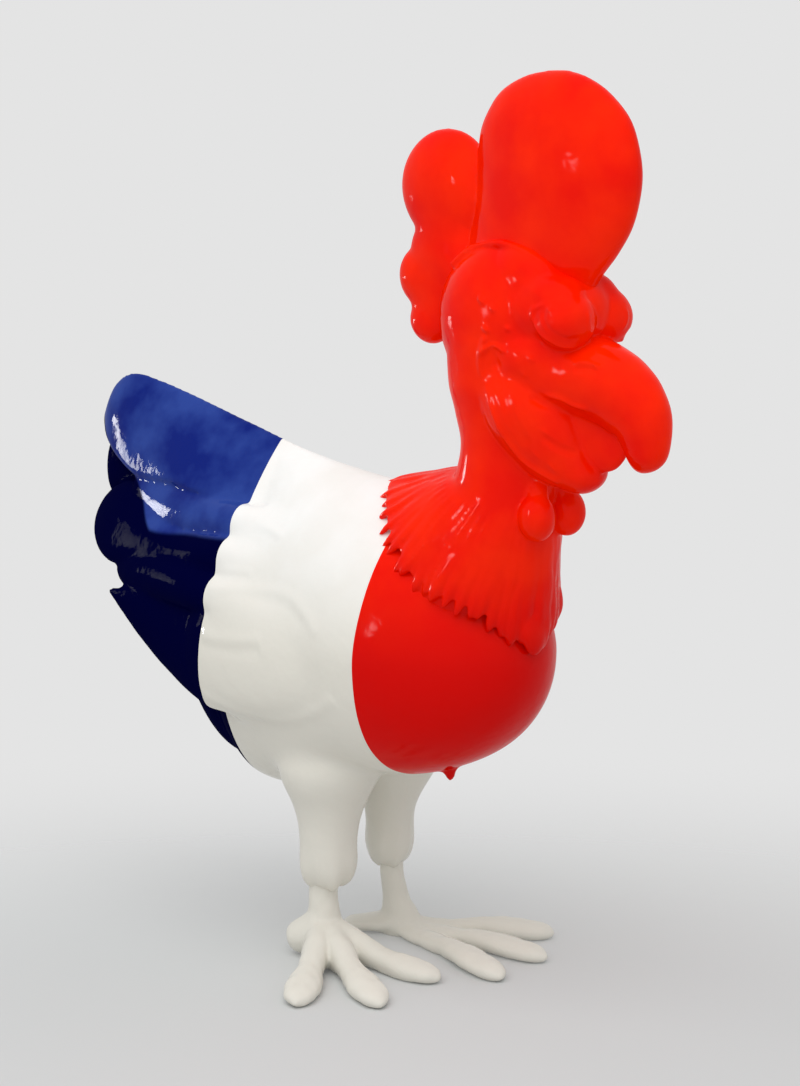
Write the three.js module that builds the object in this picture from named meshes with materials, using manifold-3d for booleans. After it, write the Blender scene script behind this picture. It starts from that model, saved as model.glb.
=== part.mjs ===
// Rooster garden sculpture, about 1.1 m tall: a comic cockerel moulded in glass-fibre sections over a steel frame.
// Millimetres, +Z up. The cockerel faces -Y, so its right side is at -X. The group is centred on its own footprint.
import * as THREE from "three";
import { mergeVertices } from "three/addons/utils/BufferGeometryUtils.js";
import Module from "manifold-3d";

const wasm = await Module();
wasm.setup();

// Driving dimensions
const WALL = 5; // laminate thickness of every hollow section
const GAP = 0.3; // glue line between two mouldings
const COLLAR = { depth: 24, thickness: 4 }; // spigot of the torso inside its two neighbours
const BLUE_JOINT = 134; // y of the joint between torso and tail section
const RED_JOINT = -120; // y of the joint between torso and breast section
const BREAST = { y: -60, reach: 220 }; // widest station of the breast, and how far the breast bulges in front of it
const RUMP = { y: 180, reach: 104 }; // the same for the rounded rump under the tail
const HOOD_TIP = 469; // y of the tip of the tail's top feather
const COMB_TOP = 280; // height of the comb above the middle of the skull
const LEG = { x: 60, rod: 7 }; // distance of the leg rods from the middle plane, and their radius
const HEAD = { y: -238, z: 810, rx: 74, ry: 88, rz: 96 }; // middle of the skull, and its radii
const EYE = { x: 33, fore: 107, up: 8, r: 34 }; // from the middle of the skull
const NECK = { base: 400, joint: 690, spread: 96, waist: 61 }; // heights of its root and of the head joint, and radii
const FRINGE = { thickness: 7, feathers: 22, tooth: 0.06 }; // hem of the neck hackle; a tooth as a share of its length
const WATTLE = { x: 27, z: 589, fore: 6, radii: [22, 22, 28] };
const AROUND = 28; // facets round the outside of the trunk
const INNER = 14; // facets round its inside

// Materials
const paint = (name, colour) =>
  new THREE.MeshStandardMaterial({ name, color: colour, roughness: 0.12, metalness: 0 });
const RED = paint("red_enamel", 0xe81400);
const WHITE = paint("white_enamel", 0xf4f3ee);
const BLUE = paint("blue_enamel", 0x0a1c86);
const STEEL = new THREE.MeshStandardMaterial({ name: "steel", color: 0x8b8f94, roughness: 0.45, metalness: 1 });
const ZINC = new THREE.MeshStandardMaterial({ name: "zinc", color: 0xb4b8bb, roughness: 0.35, metalness: 1 });

// A smooth function through (key, value) pairs: cubic pieces whose slope at each key is that of its two neighbours.
function through(keys, values) {
  const last = keys.length - 1;
  const slope = keys.map((_, i) => {
    const a = Math.max(0, i - 1);
    const b = Math.min(last, i + 1);
    return (values[b] - values[a]) / (keys[b] - keys[a]);
  });
  return (k) => {
    const i = Math.max(0, Math.min(last - 1, keys.findIndex((key) => key > k) - 1 + (k >= keys[last] ? last + 1 : 0)));
    const h = keys[i + 1] - keys[i];
    const t = Math.max(0, Math.min(1, (k - keys[i]) / h));
    const s = t * t * (3 - 2 * t);
    return (
      values[i] * (1 - s) + values[i + 1] * s + h * (t * (1 - t) * (1 - t) * slope[i] - t * t * (1 - t) * slope[i + 1])
    );
  };
}

// Several such functions over the same keys, one for each column of a table whose first column is the key.
function table(names, rows) {
  const keys = rows.map((row) => row[0]);
  const columns = names.map((_, j) => through(keys, rows.map((row) => row[j + 1])));
  return (k) => Object.fromEntries(names.map((name, j) => [name, columns[j](k)]));
}

const range = (n, f) => Array.from({ length: n }, (_, i) => f(i));
const spread = (from, to, steps) => range(steps + 1, (i) => from + ((to - from) * i) / steps);

// A manifold solid from a closed geometry.
function solid(geometry) {
  const bare = geometry.index ? geometry.toNonIndexed() : geometry.clone();
  for (const name of Object.keys(bare.attributes)) {
    if (name !== "position") bare.deleteAttribute(name);
  }
  const merged = mergeVertices(bare, 1e-3);
  return new wasm.Manifold(
    new wasm.Mesh({
      numProp: 3,
      vertProperties: merged.attributes.position.array,
      triVerts: new Uint32Array(merged.index.array),
    }),
  );
}

// A closed skin over rings of points, each ring with the same count, each end closed to its own middle.
function skin(rings) {
  const n = rings[0].length;
  const points = rings.flat();
  const faces = [];
  for (let r = 0; r + 1 < rings.length; r++) {
    for (let i = 0; i < n; i++) {
      const [a, b] = [r * n + i, r * n + ((i + 1) % n)];
      faces.push(a, b, b + n, a, b + n, a + n);
    }
  }
  [rings[0], rings[rings.length - 1]].forEach((ring, end) => {
    const middle = ring.reduce((sum, p) => sum.add(p), new THREE.Vector3()).divideScalar(n);
    const start = end ? (rings.length - 1) * n : 0;
    points.push(middle);
    for (let i = 0; i < n; i++) {
      const [a, b] = [start + i, start + ((i + 1) % n)];
      faces.push(...(end ? [a, b, points.length - 1] : [b, a, points.length - 1]));
    }
  });
  const geometry = new THREE.BufferGeometry().setFromPoints(points);
  geometry.setIndex(faces);
  const volume = range(faces.length / 3, (t) => {
    const [a, b, c] = [0, 1, 2].map((k) => points[faces[t * 3 + k]]);
    return a.dot(new THREE.Vector3().crossVectors(b, c));
  }).reduce((sum, v) => sum + v);
  if (volume < 0) geometry.setIndex(faces.map((_, i) => faces[i - (i % 3) + 2 - (i % 3)]));
  return solid(geometry);
}

const joinAll = (solids) => solids.reduce((sum, s) => sum.add(s));

// The mirror image on the other side of the middle plane.
function mirrored(body) {
  const { vertProperties, triVerts, numProp } = body.getMesh();
  const points = new Float32Array((vertProperties.length / numProp) * 3);
  for (let i = 0; i < points.length; i++) {
    const v = vertProperties[Math.floor(i / 3) * numProp + (i % 3)];
    points[i] = i % 3 ? v : -v;
  }
  const faces = triVerts.map((_, i) => triVerts[i - (i % 3) + 2 - (i % 3)]);
  return new wasm.Manifold(new wasm.Mesh({ numProp: 3, vertProperties: points, triVerts: faces }));
}

// The biggest connected body of a solid, without the slivers that a cut can leave behind.
function largest(body) {
  const { vertProperties, triVerts, numProp } = body.getMesh();
  const parent = range(vertProperties.length / numProp, (i) => i);
  const find = (i) => {
    while (parent[i] !== i) {
      parent[i] = parent[parent[i]];
      i = parent[i];
    }
    return i;
  };
  for (let t = 0; t < triVerts.length; t += 3) {
    parent[find(triVerts[t])] = find(triVerts[t + 1]);
    parent[find(triVerts[t + 1])] = find(triVerts[t + 2]);
  }
  const at = (i) => new THREE.Vector3(...vertProperties.subarray(i * numProp, i * numProp + 3));
  const volume = new Map();
  for (let t = 0; t < triVerts.length; t += 3) {
    const [a, b, c] = [0, 1, 2].map((k) => at(triVerts[t + k]));
    const key = find(triVerts[t]);
    volume.set(key, (volume.get(key) ?? 0) + a.dot(b.cross(c)) / 6);
  }
  const [best] = [...volume].sort((a, b) => b[1] - a[1])[0];
  const faces = [];
  const number = new Map();
  const points = [];
  for (const i of triVerts.filter((v) => find(v) === best)) {
    if (!number.has(i)) {
      number.set(i, points.length / 3);
      points.push(...at(i));
    }
    faces.push(number.get(i));
  }
  return { points: new Float32Array(points), faces: new Uint32Array(faces) };
}

// A box between two corners, for trimming.
function block([x0, y0, z0], [x1, y1, z1]) {
  const box = new THREE.BoxGeometry(x1 - x0, y1 - y0, z1 - z0);
  return solid(box.translate((x0 + x1) / 2, (y0 + y1) / 2, (z0 + z1) / 2));
}
const FAR = 2000;
const slab = (y0, y1) => block([-FAR, y0, -FAR], [FAR, y1, FAR]);
const above = (z) => block([-FAR, -FAR, z], [FAR, FAR, FAR]);

// A ball with its own three radii.
function ball([x, y, z], [rx, ry, rz], around = 16, down = 10) {
  const sphere = new THREE.SphereGeometry(1, around, down).rotateX(Math.PI / 2);
  return solid(sphere.scale(rx, ry, rz).translate(x, y, z));
}

// A round bar between two points.
function bar(from, to, radius, sides = 12) {
  const [a, b] = [new THREE.Vector3(...from), new THREE.Vector3(...to)];
  const geometry = new THREE.CylinderGeometry(radius, radius, a.distanceTo(b), sides);
  const turn = new THREE.Quaternion().setFromUnitVectors(new THREE.Vector3(0, 1, 0), b.clone().sub(a).normalize());
  const middle = a.clone().add(b).divideScalar(2);
  return solid(geometry.applyQuaternion(turn).translate(middle.x, middle.y, middle.z));
}

// Trunk: sections at a constant y, each a superellipse that is wide at height mid
const trunkTable = table(
  ["top", "mid", "bottom", "half", "upper", "lower"],
  [
    [BREAST.y, 600, 410, 243, 148, 1.65, 2.3],
    [0, 606, 405, 217, 146, 1.6, 2.3],
    [60, 615, 400, 199, 138, 1.5, 2.2],
    [BLUE_JOINT, 631, 400, 193, 119, 1.2, 2.1],
    [RUMP.y, 641, 415, 212, 100, 1.2, 2.0],
  ],
);
function trunkAt(y) {
  const at = trunkTable(Math.max(BREAST.y, Math.min(RUMP.y, y)));
  const past = y < BREAST.y ? (BREAST.y - y) / BREAST.reach : y > RUMP.y ? (y - RUMP.y) / RUMP.reach : 0;
  const shrink = Math.sqrt(Math.max(0, 1 - past * past));
  return {
    ...at,
    top: at.mid + (at.top - at.mid) * shrink,
    bottom: at.mid - (at.mid - at.bottom) * shrink,
    half: at.half * shrink,
  };
}
function trunkRing(y, inset, around) {
  const at = trunkAt(y);
  const past = y < BREAST.y ? (BREAST.y - y) / BREAST.reach : y > RUMP.y ? (RUMP.y - y) / RUMP.reach : 0;
  return range(around, (i) => {
    const turn = ((i + 0.5) / around) * 2 * Math.PI;
    const [c, s] = [Math.cos(turn), Math.sin(turn)];
    const power = 2 / (s > 0 ? at.upper : at.lower);
    const height = Math.max(2, (s > 0 ? at.top - at.mid : at.mid - at.bottom) - inset);
    return new THREE.Vector3(
      Math.sign(c) * Math.abs(c) ** power * Math.max(2, at.half - inset),
      y + inset * past,
      at.mid + Math.sign(s) * Math.abs(s) ** power * height,
    );
  });
}
// Every skin of the trunk uses the same stations, so that nested skins stay parallel.
const stations = [
  ...spread(0, Math.PI / 2, 6).map((turn) => BREAST.y - (BREAST.reach - 2) * Math.sin(turn)),
  RED_JOINT,
  ...spread(BREAST.y, BLUE_JOINT, 4).slice(1),
  ...spread(0, Math.PI / 2, 4).map((turn) => RUMP.y + (RUMP.reach - 2) * Math.sin(turn)),
].sort((a, b) => a - b);
const trunk = (inset, around = AROUND) => skin(stations.map((y) => trunkRing(y, inset, around)));

// Whether a point lies in the front part of the trunk, grown by so much.
function inTrunk({ x, y, z }, grow) {
  const at = trunkTable(Math.max(BREAST.y, Math.min(RUMP.y, y)));
  const past = Math.max(0, (BREAST.y - y) / (BREAST.reach + grow));
  const [power, height] = z > at.mid ? [at.upper, at.top - at.mid] : [at.lower, at.mid - at.bottom];
  const flat = Math.abs(x / (at.half + grow)) ** power + Math.abs((z - at.mid) / (height + grow)) ** power;
  return flat ** (2 / power) + past ** 2 < 1;
}

// An oval section carried along a path; lean tips the top of the section inwards, and over the last share of the
// path, blunt, the section shrinks as a circle does
function limb({ path, height, thickness, lean = 0, blunt = 0, around = 10, steps = 7 }) {
  const line = new THREE.CatmullRomCurve3(path.map((p) => new THREE.Vector3(...p)), false, "centripetal");
  const share = range(path.length, (i) => i / (path.length - 1));
  const [tall, thick] = [through(share, height), through(share, thickness)];
  const sign = path[path.length - 1][1] > path[0][1] ? -1 : 1;
  const rings = range(steps + 1, (j) => {
    const t = Math.sin(((j / steps) * Math.PI) / 2);
    const [at, ahead] = [line.getPoint(t), line.getTangent(t)];
    const end = blunt ? Math.sqrt(1 - Math.max(0, (t - 1 + blunt) / blunt) ** 2) : 1;
    const out = new THREE.Vector3(-1, 0, 0).addScaledVector(ahead, ahead.x).normalize();
    const up = new THREE.Vector3().crossVectors(out, ahead).normalize().multiplyScalar(sign);
    const tip = THREE.MathUtils.degToRad(lean);
    const [u, w] = [
      up.clone().multiplyScalar(Math.cos(tip)).addScaledVector(out, -Math.sin(tip)),
      out.clone().multiplyScalar(Math.cos(tip)).addScaledVector(up, Math.sin(tip)),
    ];
    return range(around, (i) => {
      const turn = (i / around) * 2 * Math.PI;
      return at
        .clone()
        .addScaledVector(u, Math.max(0.5, tall(t) * end) * Math.cos(turn))
        .addScaledVector(w, Math.max(0.5, thick(t) * end) * Math.sin(turn));
    });
  });
  return skin(rings);
}
const feather = (inset, { height, thickness, ...rest }) =>
  limb({ height: height.map((r) => r - inset), thickness: thickness.map((r) => r - inset), ...rest });
// The right-hand feathers, from the lowest up; the left-hand ones are their mirror images.
const primary = (inset) => feather(inset, {
  path: [[-104, -20, 376], [-124, 81, 368], [-122, 134, 372], [-112, 205, 386], [-104, 270, 402], [-97, 358, 419]],
  height: [52, 64, 63, 53, 37, 3],
  thickness: [22, 26, 25, 18, 12, 3],
  lean: 6,
});
const secondary = (inset) => feather(inset, {
  path: [[-112, -40, 455], [-122, 60, 449], [-117, 134, 447], [-102, 235, 452], [-82, 352, 450]],
  height: [12, 24, 28, 30, 20],
  thickness: [5, 16, 24, 18, 8],
  lean: 14,
  blunt: 0.12,
});
const tertial = (inset) => feather(inset, {
  path: [[-90, -40, 516], [-98, 60, 504], [-98, 134, 498], [-80, 235, 505], [-62, 350, 505], [-36, 449, 494]],
  height: [9, 20, 28, 36, 47, 44],
  thickness: [5, 14, 20, 18, 16, 12],
  lean: 22,
  blunt: 0.16,
});
const underEave = (inset) => feather(inset, {
  path: [[-50, -20, 545], [-68, 134, 520], [-60, 260, 510], [-36, 380, 516]],
  height: [16, 26, 22, 12],
  thickness: [10, 18, 14, 8],
  lean: 10,
  around: 6,
  steps: 4,
});
const wingCover = (inset) => feather(inset, {
  path: [[-108, -100, 420], [-124, -40, 405], [-130, 40, 392], [-128, 134, 384], [-118, 190, 384]],
  height: [14, 62, 78, 66, 40],
  thickness: [8, 22, 26, 22, 12],
  lean: 8,
  around: 12,
});

// Tail hood: the top feather of the tail, a tent whose eaves cover the side feathers
const hoodTable = table(
  ["top", "eave", "half", "upper"],
  [
    [20, 600, 545, 40, 1.3],
    [80, 618, 544, 56, 1.2],
    [BLUE_JOINT, 632, 540, 78, 1.15],
    [211, 650, 520, 76, 1.3],
    [285, 668, 522, 62, 1.45],
    [361, 684, 548, 46, 1.6],
    [410, 689, 566, 33, 1.8],
    [445, 672, 586, 20, 2],
    [HOOD_TIP, 632, 612, 5, 2],
  ],
);
function hood(inset, around = 18) {
  const ys = [...spread(20, 400, 5), 430, 454, HOOD_TIP].map((y) => Math.min(y, HOOD_TIP - inset * 1.5));
  return skin(
    [...new Set(ys)].map((y) => {
      const at = hoodTable(y);
      return range(around, (i) => {
        const turn = (i / around) * 2 * Math.PI;
        const [c, s] = [Math.cos(turn), Math.sin(turn)];
        const power = 2 / at.upper;
        const rise = s > 0 ? Math.max(2, at.top - at.eave - inset * 1.6) : Math.max(2, 16 - inset);
        const wide = Math.max(1.5, at.half - inset * 1.4);
        return new THREE.Vector3(
          Math.sign(c) * Math.abs(c) ** power * wide,
          y,
          at.eave + Math.sign(s) * Math.abs(s) ** (s > 0 ? power : 1) * rise,
        );
      });
    }),
  );
}

// Neck: rings at a constant height, up to just below the middle of the skull
const neckTable = table(
  ["y", "r"],
  [
    [0, -158, NECK.spread + 4],
    [0.098, -163, NECK.spread + 10],
    [0.244, -183, NECK.spread],
    [0.317, -194, NECK.spread - 8],
    [0.39, -207, NECK.waist + 18],
    [0.463, -226, NECK.waist + 9],
    [0.544, -237, NECK.waist + 3],
    [0.651, HEAD.y - 5, NECK.waist],
    [0.744, HEAD.y - 1, HEAD.rx - 9],
    [0.817, HEAD.y + 1, HEAD.rx - 3],
    [0.951, HEAD.y, HEAD.rx * 0.96],
  ],
);
const neckAt = (z) => neckTable((z - NECK.base) / (HEAD.z - NECK.base));
const NECK_INNER = 12; // facets round its inside
function rings(heights, at, around) {
  return skin(
    heights.map((z) => {
      const { x = 0, y = 0, rx, ry } = at(z);
      return range(around, (i) => {
        const turn = ((i + 0.5) / around) * 2 * Math.PI;
        return new THREE.Vector3(x + rx * Math.cos(turn), y + ry * Math.sin(turn), z);
      });
    }),
  );
}
function neck(inset, around = 18, from = 0) {
  const shares = [0, 0.12, 0.244, 0.34, 0.43, 0.51, 0.61, 0.707, 0.78, 0.86, 0.951].filter((share) => share >= from);
  const heights = shares.map((share) => NECK.base + (HEAD.z - NECK.base) * share - (share > 0.9 ? inset : 0));
  return rings(heights, (z) => ({ y: neckAt(z).y, rx: neckAt(z).r - inset, ry: neckAt(z).r - inset }), around);
}

// Hackle: the neck's own rings, then a cape whose rings run from the neck (way 0) to the hem (way 1). Straight in
// section where that clears the skin of neck and trunk, as over the nape, and lying on the breast elsewhere
const CAPE = { nape: 634, throat: 598, bow: 8, core: [[0, -215, 610], [0, -172, 500]] };
const HEM = new THREE.CatmullRomCurve3(
  [
    [0, -54, 600],
    [-27, -62, 594],
    [-66, -92, 566],
    [-89, -117, 537],
    [-100, -148, 509],
    [-92, -202, 475],
    [-65, -242, 454],
    [-50, -261, 436],
    [-25, -276, 424],
    [0, -282, 416],
  ].map((p) => new THREE.Vector3(...p)),
  false,
  "centripetal",
);
function capePoint(share, side, way, grow) {
  const hem = HEM.getPointAt(share);
  hem.x *= side;
  const turn = Math.atan2(-hem.x, hem.y - (CAPE.core[1][1] + 2));
  const z = CAPE.nape + (CAPE.throat - CAPE.nape) * share + Math.max(0, -way) * (NECK.joint - CAPE.nape);
  const level = way < -0.99 ? NECK.joint : z;
  const { y, r } = neckAt(level);
  const top = new THREE.Vector3(-(r + grow) * Math.sin(turn), y + (r + grow) * Math.cos(turn), level);
  if (way <= 0) return top;
  const core = new THREE.Vector3(...CAPE.core[0]).lerp(new THREE.Vector3(...CAPE.core[1]), way);
  const line = top.lerp(hem, way);
  const ray = line.clone().sub(core).normalize();
  const inside = (reach) => {
    const p = core.clone().addScaledVector(ray, reach);
    return Math.hypot(p.x, p.y - neckAt(p.z).y) < neckAt(p.z).r || inTrunk(p, FRINGE.thickness);
  };
  let skinReach = 260;
  while (skinReach > 20 && !inside(skinReach)) skinReach -= 0.5;
  const lineReach = line.distanceTo(core) + CAPE.bow * way * (1 - way);
  return core.addScaledVector(ray, Math.max(lineReach, skinReach) + grow);
}
function cape(grow) {
  const n = FRINGE.feathers * 2;
  const hemWay = (i) => 1 + (i % 2 ? -FRINGE.tooth : FRINGE.tooth);
  const ways = [() => -1, ...[0, 0.2, 0.4, 0.6, 0.8, 0.91].map((way) => () => way), hemWay];
  return skin(
    ways.map((way) =>
      range(n, (i) => capePoint(1 - Math.abs(1 - (2 * i) / n), i <= n / 2 ? 1 : -1, way(i), grow)),
    ),
  );
}

// A place in the middle plane, so far behind and above the middle of the skull
const fromHead = ([y, z]) => [0, HEAD.y + y, HEAD.z + z];

// Skull, standing on the top of the neck
function skull(inset, around = 18) {
  const radii = [HEAD.rx, HEAD.ry, HEAD.rz].map((r) => r - inset);
  const middle = ball([0, HEAD.y, HEAD.z], radii, around, around / 2);
  return middle.add(neck(inset, around).intersect(above(NECK.joint)));
}
// Forehead, cheeks and brows, which swell out of it towards the bill
const swellings = (grow) => {
  const grown = (radii) => radii.map((r) => r + grow);
  const brow = ball([-30, HEAD.y - 97, HEAD.z + 28], grown([29, 36, 31]), 10, 6);
  return joinAll([
    ball(fromHead([-62, 12]), grown([HEAD.rx - 14, 66, 48]), 12, 7),
    ball(fromHead([-50, -38]), grown([HEAD.rx - 8, 66, 48]), 12, 7),
    brow,
    mirrored(brow),
  ]);
};

// Comb: a balloon-like front lobe and three smaller lobes behind it. Heights and places from the middle of the skull
const combTable = table(
  ["front", "back", "half"],
  [
    [30, -114, 68, 30],
    [54, -128, 66, 32],
    [80, -150, 60, 35],
    [109, -169, 53, 38],
    [140, -178, 48, 40],
    [175, -181, 46, 40],
    [211, -173, 44, 37],
    [235, -159, 32, 33],
    [258, -134, 11, 25],
    [274, -104, -22, 14],
    [COMB_TOP, -80, -52, 5],
  ],
);
function frontLobe(inset, around = 18) {
  const top = COMB_TOP - inset;
  const heights = [30, 58, 90, 125, 165, 200, 230, 254, 270].filter((up) => up < top - 2);
  return rings(
    [...heights, top].map((up) => HEAD.z + up),
    (z) => {
      const at = combTable(Math.min(COMB_TOP, z - HEAD.z + inset));
      const y = HEAD.y + (at.front + at.back) / 2;
      return { y, rx: Math.max(2, at.half - inset), ry: Math.max(2, (at.back - at.front) / 2 - inset) };
    },
    around,
  );
}
function rearLobes(grow) {
  const lobes = [
    [96, 145, 67, 32],
    [98, 68, 52, 27],
    [128, 40, 39, 26],
    [120, -9, 30, 23],
  ].map(([y, z, r, half]) => ball(fromHead([y, z]), [half + grow, r + grow, r + grow], 10, 7));
  const web = limb({
    path: [[88, 150], [100, 70], [112, 0]].map(fromHead),
    height: [44, 44, 22].map((r) => r + grow),
    thickness: [29, 26, 22].map((r) => r + grow),
    around: 8,
    steps: 3,
  });
  return joinAll([...lobes, web]);
}
const wholeComb = (grow) => frontLobe(-grow).add(rearLobes(grow));

// Bill: hooked upper half; lower half and tongue, which fills the gape
const upperBill = (grow) =>
  limb({
    path: [[-24, -58], [-92, -54], [-150, -67], [-187, -94], [-197, -126], [-190, -158]].map(fromHead),
    height: [48, 48, 46, 42, 32, 20].map((r) => r + grow),
    thickness: [0.84, 0.76, 0.62, 0.47, 0.34, 0.22].map((share) => share * HEAD.rx + grow),
    blunt: 0.13,
    around: 16,
    steps: 9,
  });
const lowerBill = (grow) =>
  limb({
    path: [[-20, -64], [-52, -106], [-86, -142], [-110, -162], [-128, -174]].map(fromHead),
    height: [54, 60, 54, 40, 18].map((r) => r + grow),
    thickness: [1, 0.97, 0.78, 0.55, 0.27].map((share) => share * HEAD.rx + grow),
    blunt: 0.1,
    around: 14,
    steps: 7,
  });
const tongue = limb({
  path: [[-24, -70], [-72, -96], [-108, -116], [-132, -134], [-150, -146]].map(fromHead),
  height: [40, 38, 32, 22, 8],
  thickness: [0.86, 0.68, 0.4, 0.2, 0.1].map((share) => share * HEAD.rx),
  around: 8,
  steps: 4,
});

// Legs, both drawn as the right one; the left one is then mirrored. top is the shank's place in the thigh, shift and
// slim move and narrow the thigh under the hip, and rise is the height of the toes' roots
const RIGHT = {
  shift: [0, 0],
  slim: 1,
  ankle: [-66, 2],
  toes: [[-224, -103], [-156, -178], [-45, -172]],
  spur: { tip: [-86, 44], height: 46 },
  top: [-64, 3],
  shank: 18,
  rise: 1.25,
};
const LEFT = {
  shift: [4, 4],
  slim: 0.86,
  ankle: [-66, -7],
  toes: [[-8, -226], [-98, -222], [-175, -172]],
  spur: { tip: [-30, 42], height: 17 },
  top: [-58, 2],
  shank: 15,
  rise: 0.55,
};
const THIGH_INNER = 12; // facets round the inside of a thigh
const thighTable = table(
  ["x", "r"],
  [
    [92, LEG.x, 30],
    [108, LEG.x, 35],
    [122, LEG.x, 37],
    [150, LEG.x, 36],
    [175, LEG.x - 1, 39],
    [200, LEG.x - 2, 48],
    [225, LEG.x - 4, 68],
    [250, LEG.x - 6, 82],
    [285, LEG.x - 10, 72],
  ],
);
const thigh = (leg, inset, around = 16) =>
  rings(
    [92, 106, 122, 150, 175, 198, 225, 250, 285],
    (z) => {
      const at = thighTable(z);
      const low = THREE.MathUtils.smoothstep(215 - z, 0, 60);
      const r = at.r * (1 + (leg.slim - 1) * low) - inset;
      return { x: leg.shift[0] * low - at.x, y: leg.shift[1] * low, rx: r, ry: r };
    },
    around,
  );
const along = ([ax, ay], [bx, by]) => (share, z) => [ax + (bx - ax) * share, ay + (by - ay) * share, z];
function toe(ankle, tip, rise) {
  const at = along(ankle, tip);
  return limb({
    path: [at(0, 20 * rise), at(0.3, 16 * rise), at(0.6, 12), at(0.84, 11), at(1, 8)],
    height: [24 * rise, 20 * rise, 15, 15, 10],
    thickness: [26, 20, 16, 22, 16],
    blunt: 0.14,
    around: 8,
    steps: 6,
  });
}
function spur(ankle, { tip, height }) {
  const at = along(ankle, tip);
  return limb({
    path: [at(0, 0.6 * height), at(0.5, 0.5 * height), at(0.8, 0.45 * height), at(1, 0.4 * height)],
    height: [0.6, 0.5, 0.5, 0.4].map((share) => share * height),
    thickness: [26, 23, 22, 18],
    blunt: 0.3,
    around: 8,
    steps: 5,
  });
}
function foot(leg) {
  const { ankle, top, rise } = leg;
  const upwards = along(ankle, top);
  const shank = limb({
    path: [upwards(0, -2), upwards(0, 22 * rise), upwards(0.5, 22 + 32 * rise), upwards(1, 82), upwards(1, 112)],
    height: [26, 25, leg.shank + 2, leg.shank, leg.shank],
    thickness: [26, 25, leg.shank + 2, leg.shank, leg.shank],
    around: 10,
    steps: 5,
  });
  const plug = thigh(leg, WALL + GAP, THIGH_INNER).intersect(block([-FAR, -FAR, 96], [FAR, FAR, 140]));
  const whole = joinAll([shank, plug, ...leg.toes.map((tip) => toe(ankle, tip, rise)), spur(ankle, leg.spur)]);
  return whole.intersect(above(0));
}

// Steel inside
const PLATE = { z: 262, thickness: 8, y0: -75, y1: 45 };
const POST = { y: -38, r: 10 };
const DISC = { z: 0.5, thickness: 5, r: 15 }; // let into the sole, welded to the foot of the leg rod
const NUT = { across: 24, height: 11 };
const nut = (x, y, z, bore) => {
  const hexagon = new THREE.CylinderGeometry(NUT.across / Math.sqrt(3), NUT.across / Math.sqrt(3), NUT.height, 6);
  const body = solid(hexagon.rotateX(Math.PI / 2).translate(x, y, z + NUT.height / 2));
  return body.subtract(bar([x, y, z - 1], [x, y, z + NUT.height + 1], bore));
};
const POST_LINE = [[0, POST.y, 246], [0, POST.y, 340], [0, -216, 530], fromHead([-2, -10])];
const post = (grow) =>
  joinAll([
    ...POST_LINE.slice(1).map((end, i) => bar(POST_LINE[i], end, POST.r + grow)),
    ...POST_LINE.slice(1, 3).map((bend) => ball(bend, [POST.r + grow, POST.r + grow, POST.r + grow], 12, 6)),
  ]);
const SPINE = { y0: HEAD.y - 18, y1: HEAD.y + 12, z0: HEAD.z - 45, z1: HEAD.z + 190, thickness: 4 };
const spine = (clear) => {
  const x = POST.r + GAP; // the flat bar lies beside the top of the post
  return block(
    [x - clear, SPINE.y0 - clear, SPINE.z0 - clear],
    [x + SPINE.thickness + clear, SPINE.y1 + clear, SPINE.z1 + clear],
  );
};

// Assembly
const root = new THREE.Group();
function add(name, material, body) {
  const m = largest(body);
  const geometry = new THREE.BufferGeometry().setAttribute("position", new THREE.BufferAttribute(m.points, 3));
  geometry.setIndex(new THREE.BufferAttribute(m.faces, 1));
  geometry.computeVertexNormals();
  const mesh = new THREE.Mesh(geometry, material.clone());
  mesh.name = name;
  root.add(mesh);
}
// A right-hand and a left-hand piece, mirror images unless a left one is given, each kept to its own side and cut
// back by the neighbours given.
function addPair(name, material, right, neighbours = [], left = mirrored(right)) {
  const trim = (raw, side) => neighbours.reduce((body, n) => body.subtract(n), raw.intersect(side));
  add(`${name}_right`, material, trim(right, block([-FAR, -FAR, -FAR], [-GAP / 2, FAR, FAR])));
  add(`${name}_left`, material, trim(left, block([GAP / 2, -FAR, -FAR], [FAR, FAR, FAR])));
}

const sideFeathers = (inset) => joinAll([primary(inset), secondary(inset), tertial(inset), underEave(inset)]);
const carcass = (inset) => {
  const right = sideFeathers(inset);
  return joinAll([trunk(inset), hood(inset), right, mirrored(right)]);
};
const form = carcass(0);
const hoodCavity = hood(WALL, 10);
const cavity = trunk(WALL, INNER).add(hoodCavity);
const collar = (y, inwards) => {
  const [outer, inner] = [slab(y - COLLAR.depth, y), slab(y, y + COLLAR.depth)];
  const [free, fixed] = inwards > 0 ? [outer, inner] : [inner, outer];
  const body = trunk(WALL + GAP, INNER).intersect(free).add(trunk(WALL - 1, INNER).intersect(fixed));
  return body.subtract(trunk(WALL + GAP + COLLAR.thickness, INNER));
};
const rodHoles = joinAll([-1, 1].map((side) => bar([side * LEG.x, 0, 0], [side * LEG.x, 0, 270], LEG.rod + GAP)));

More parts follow.
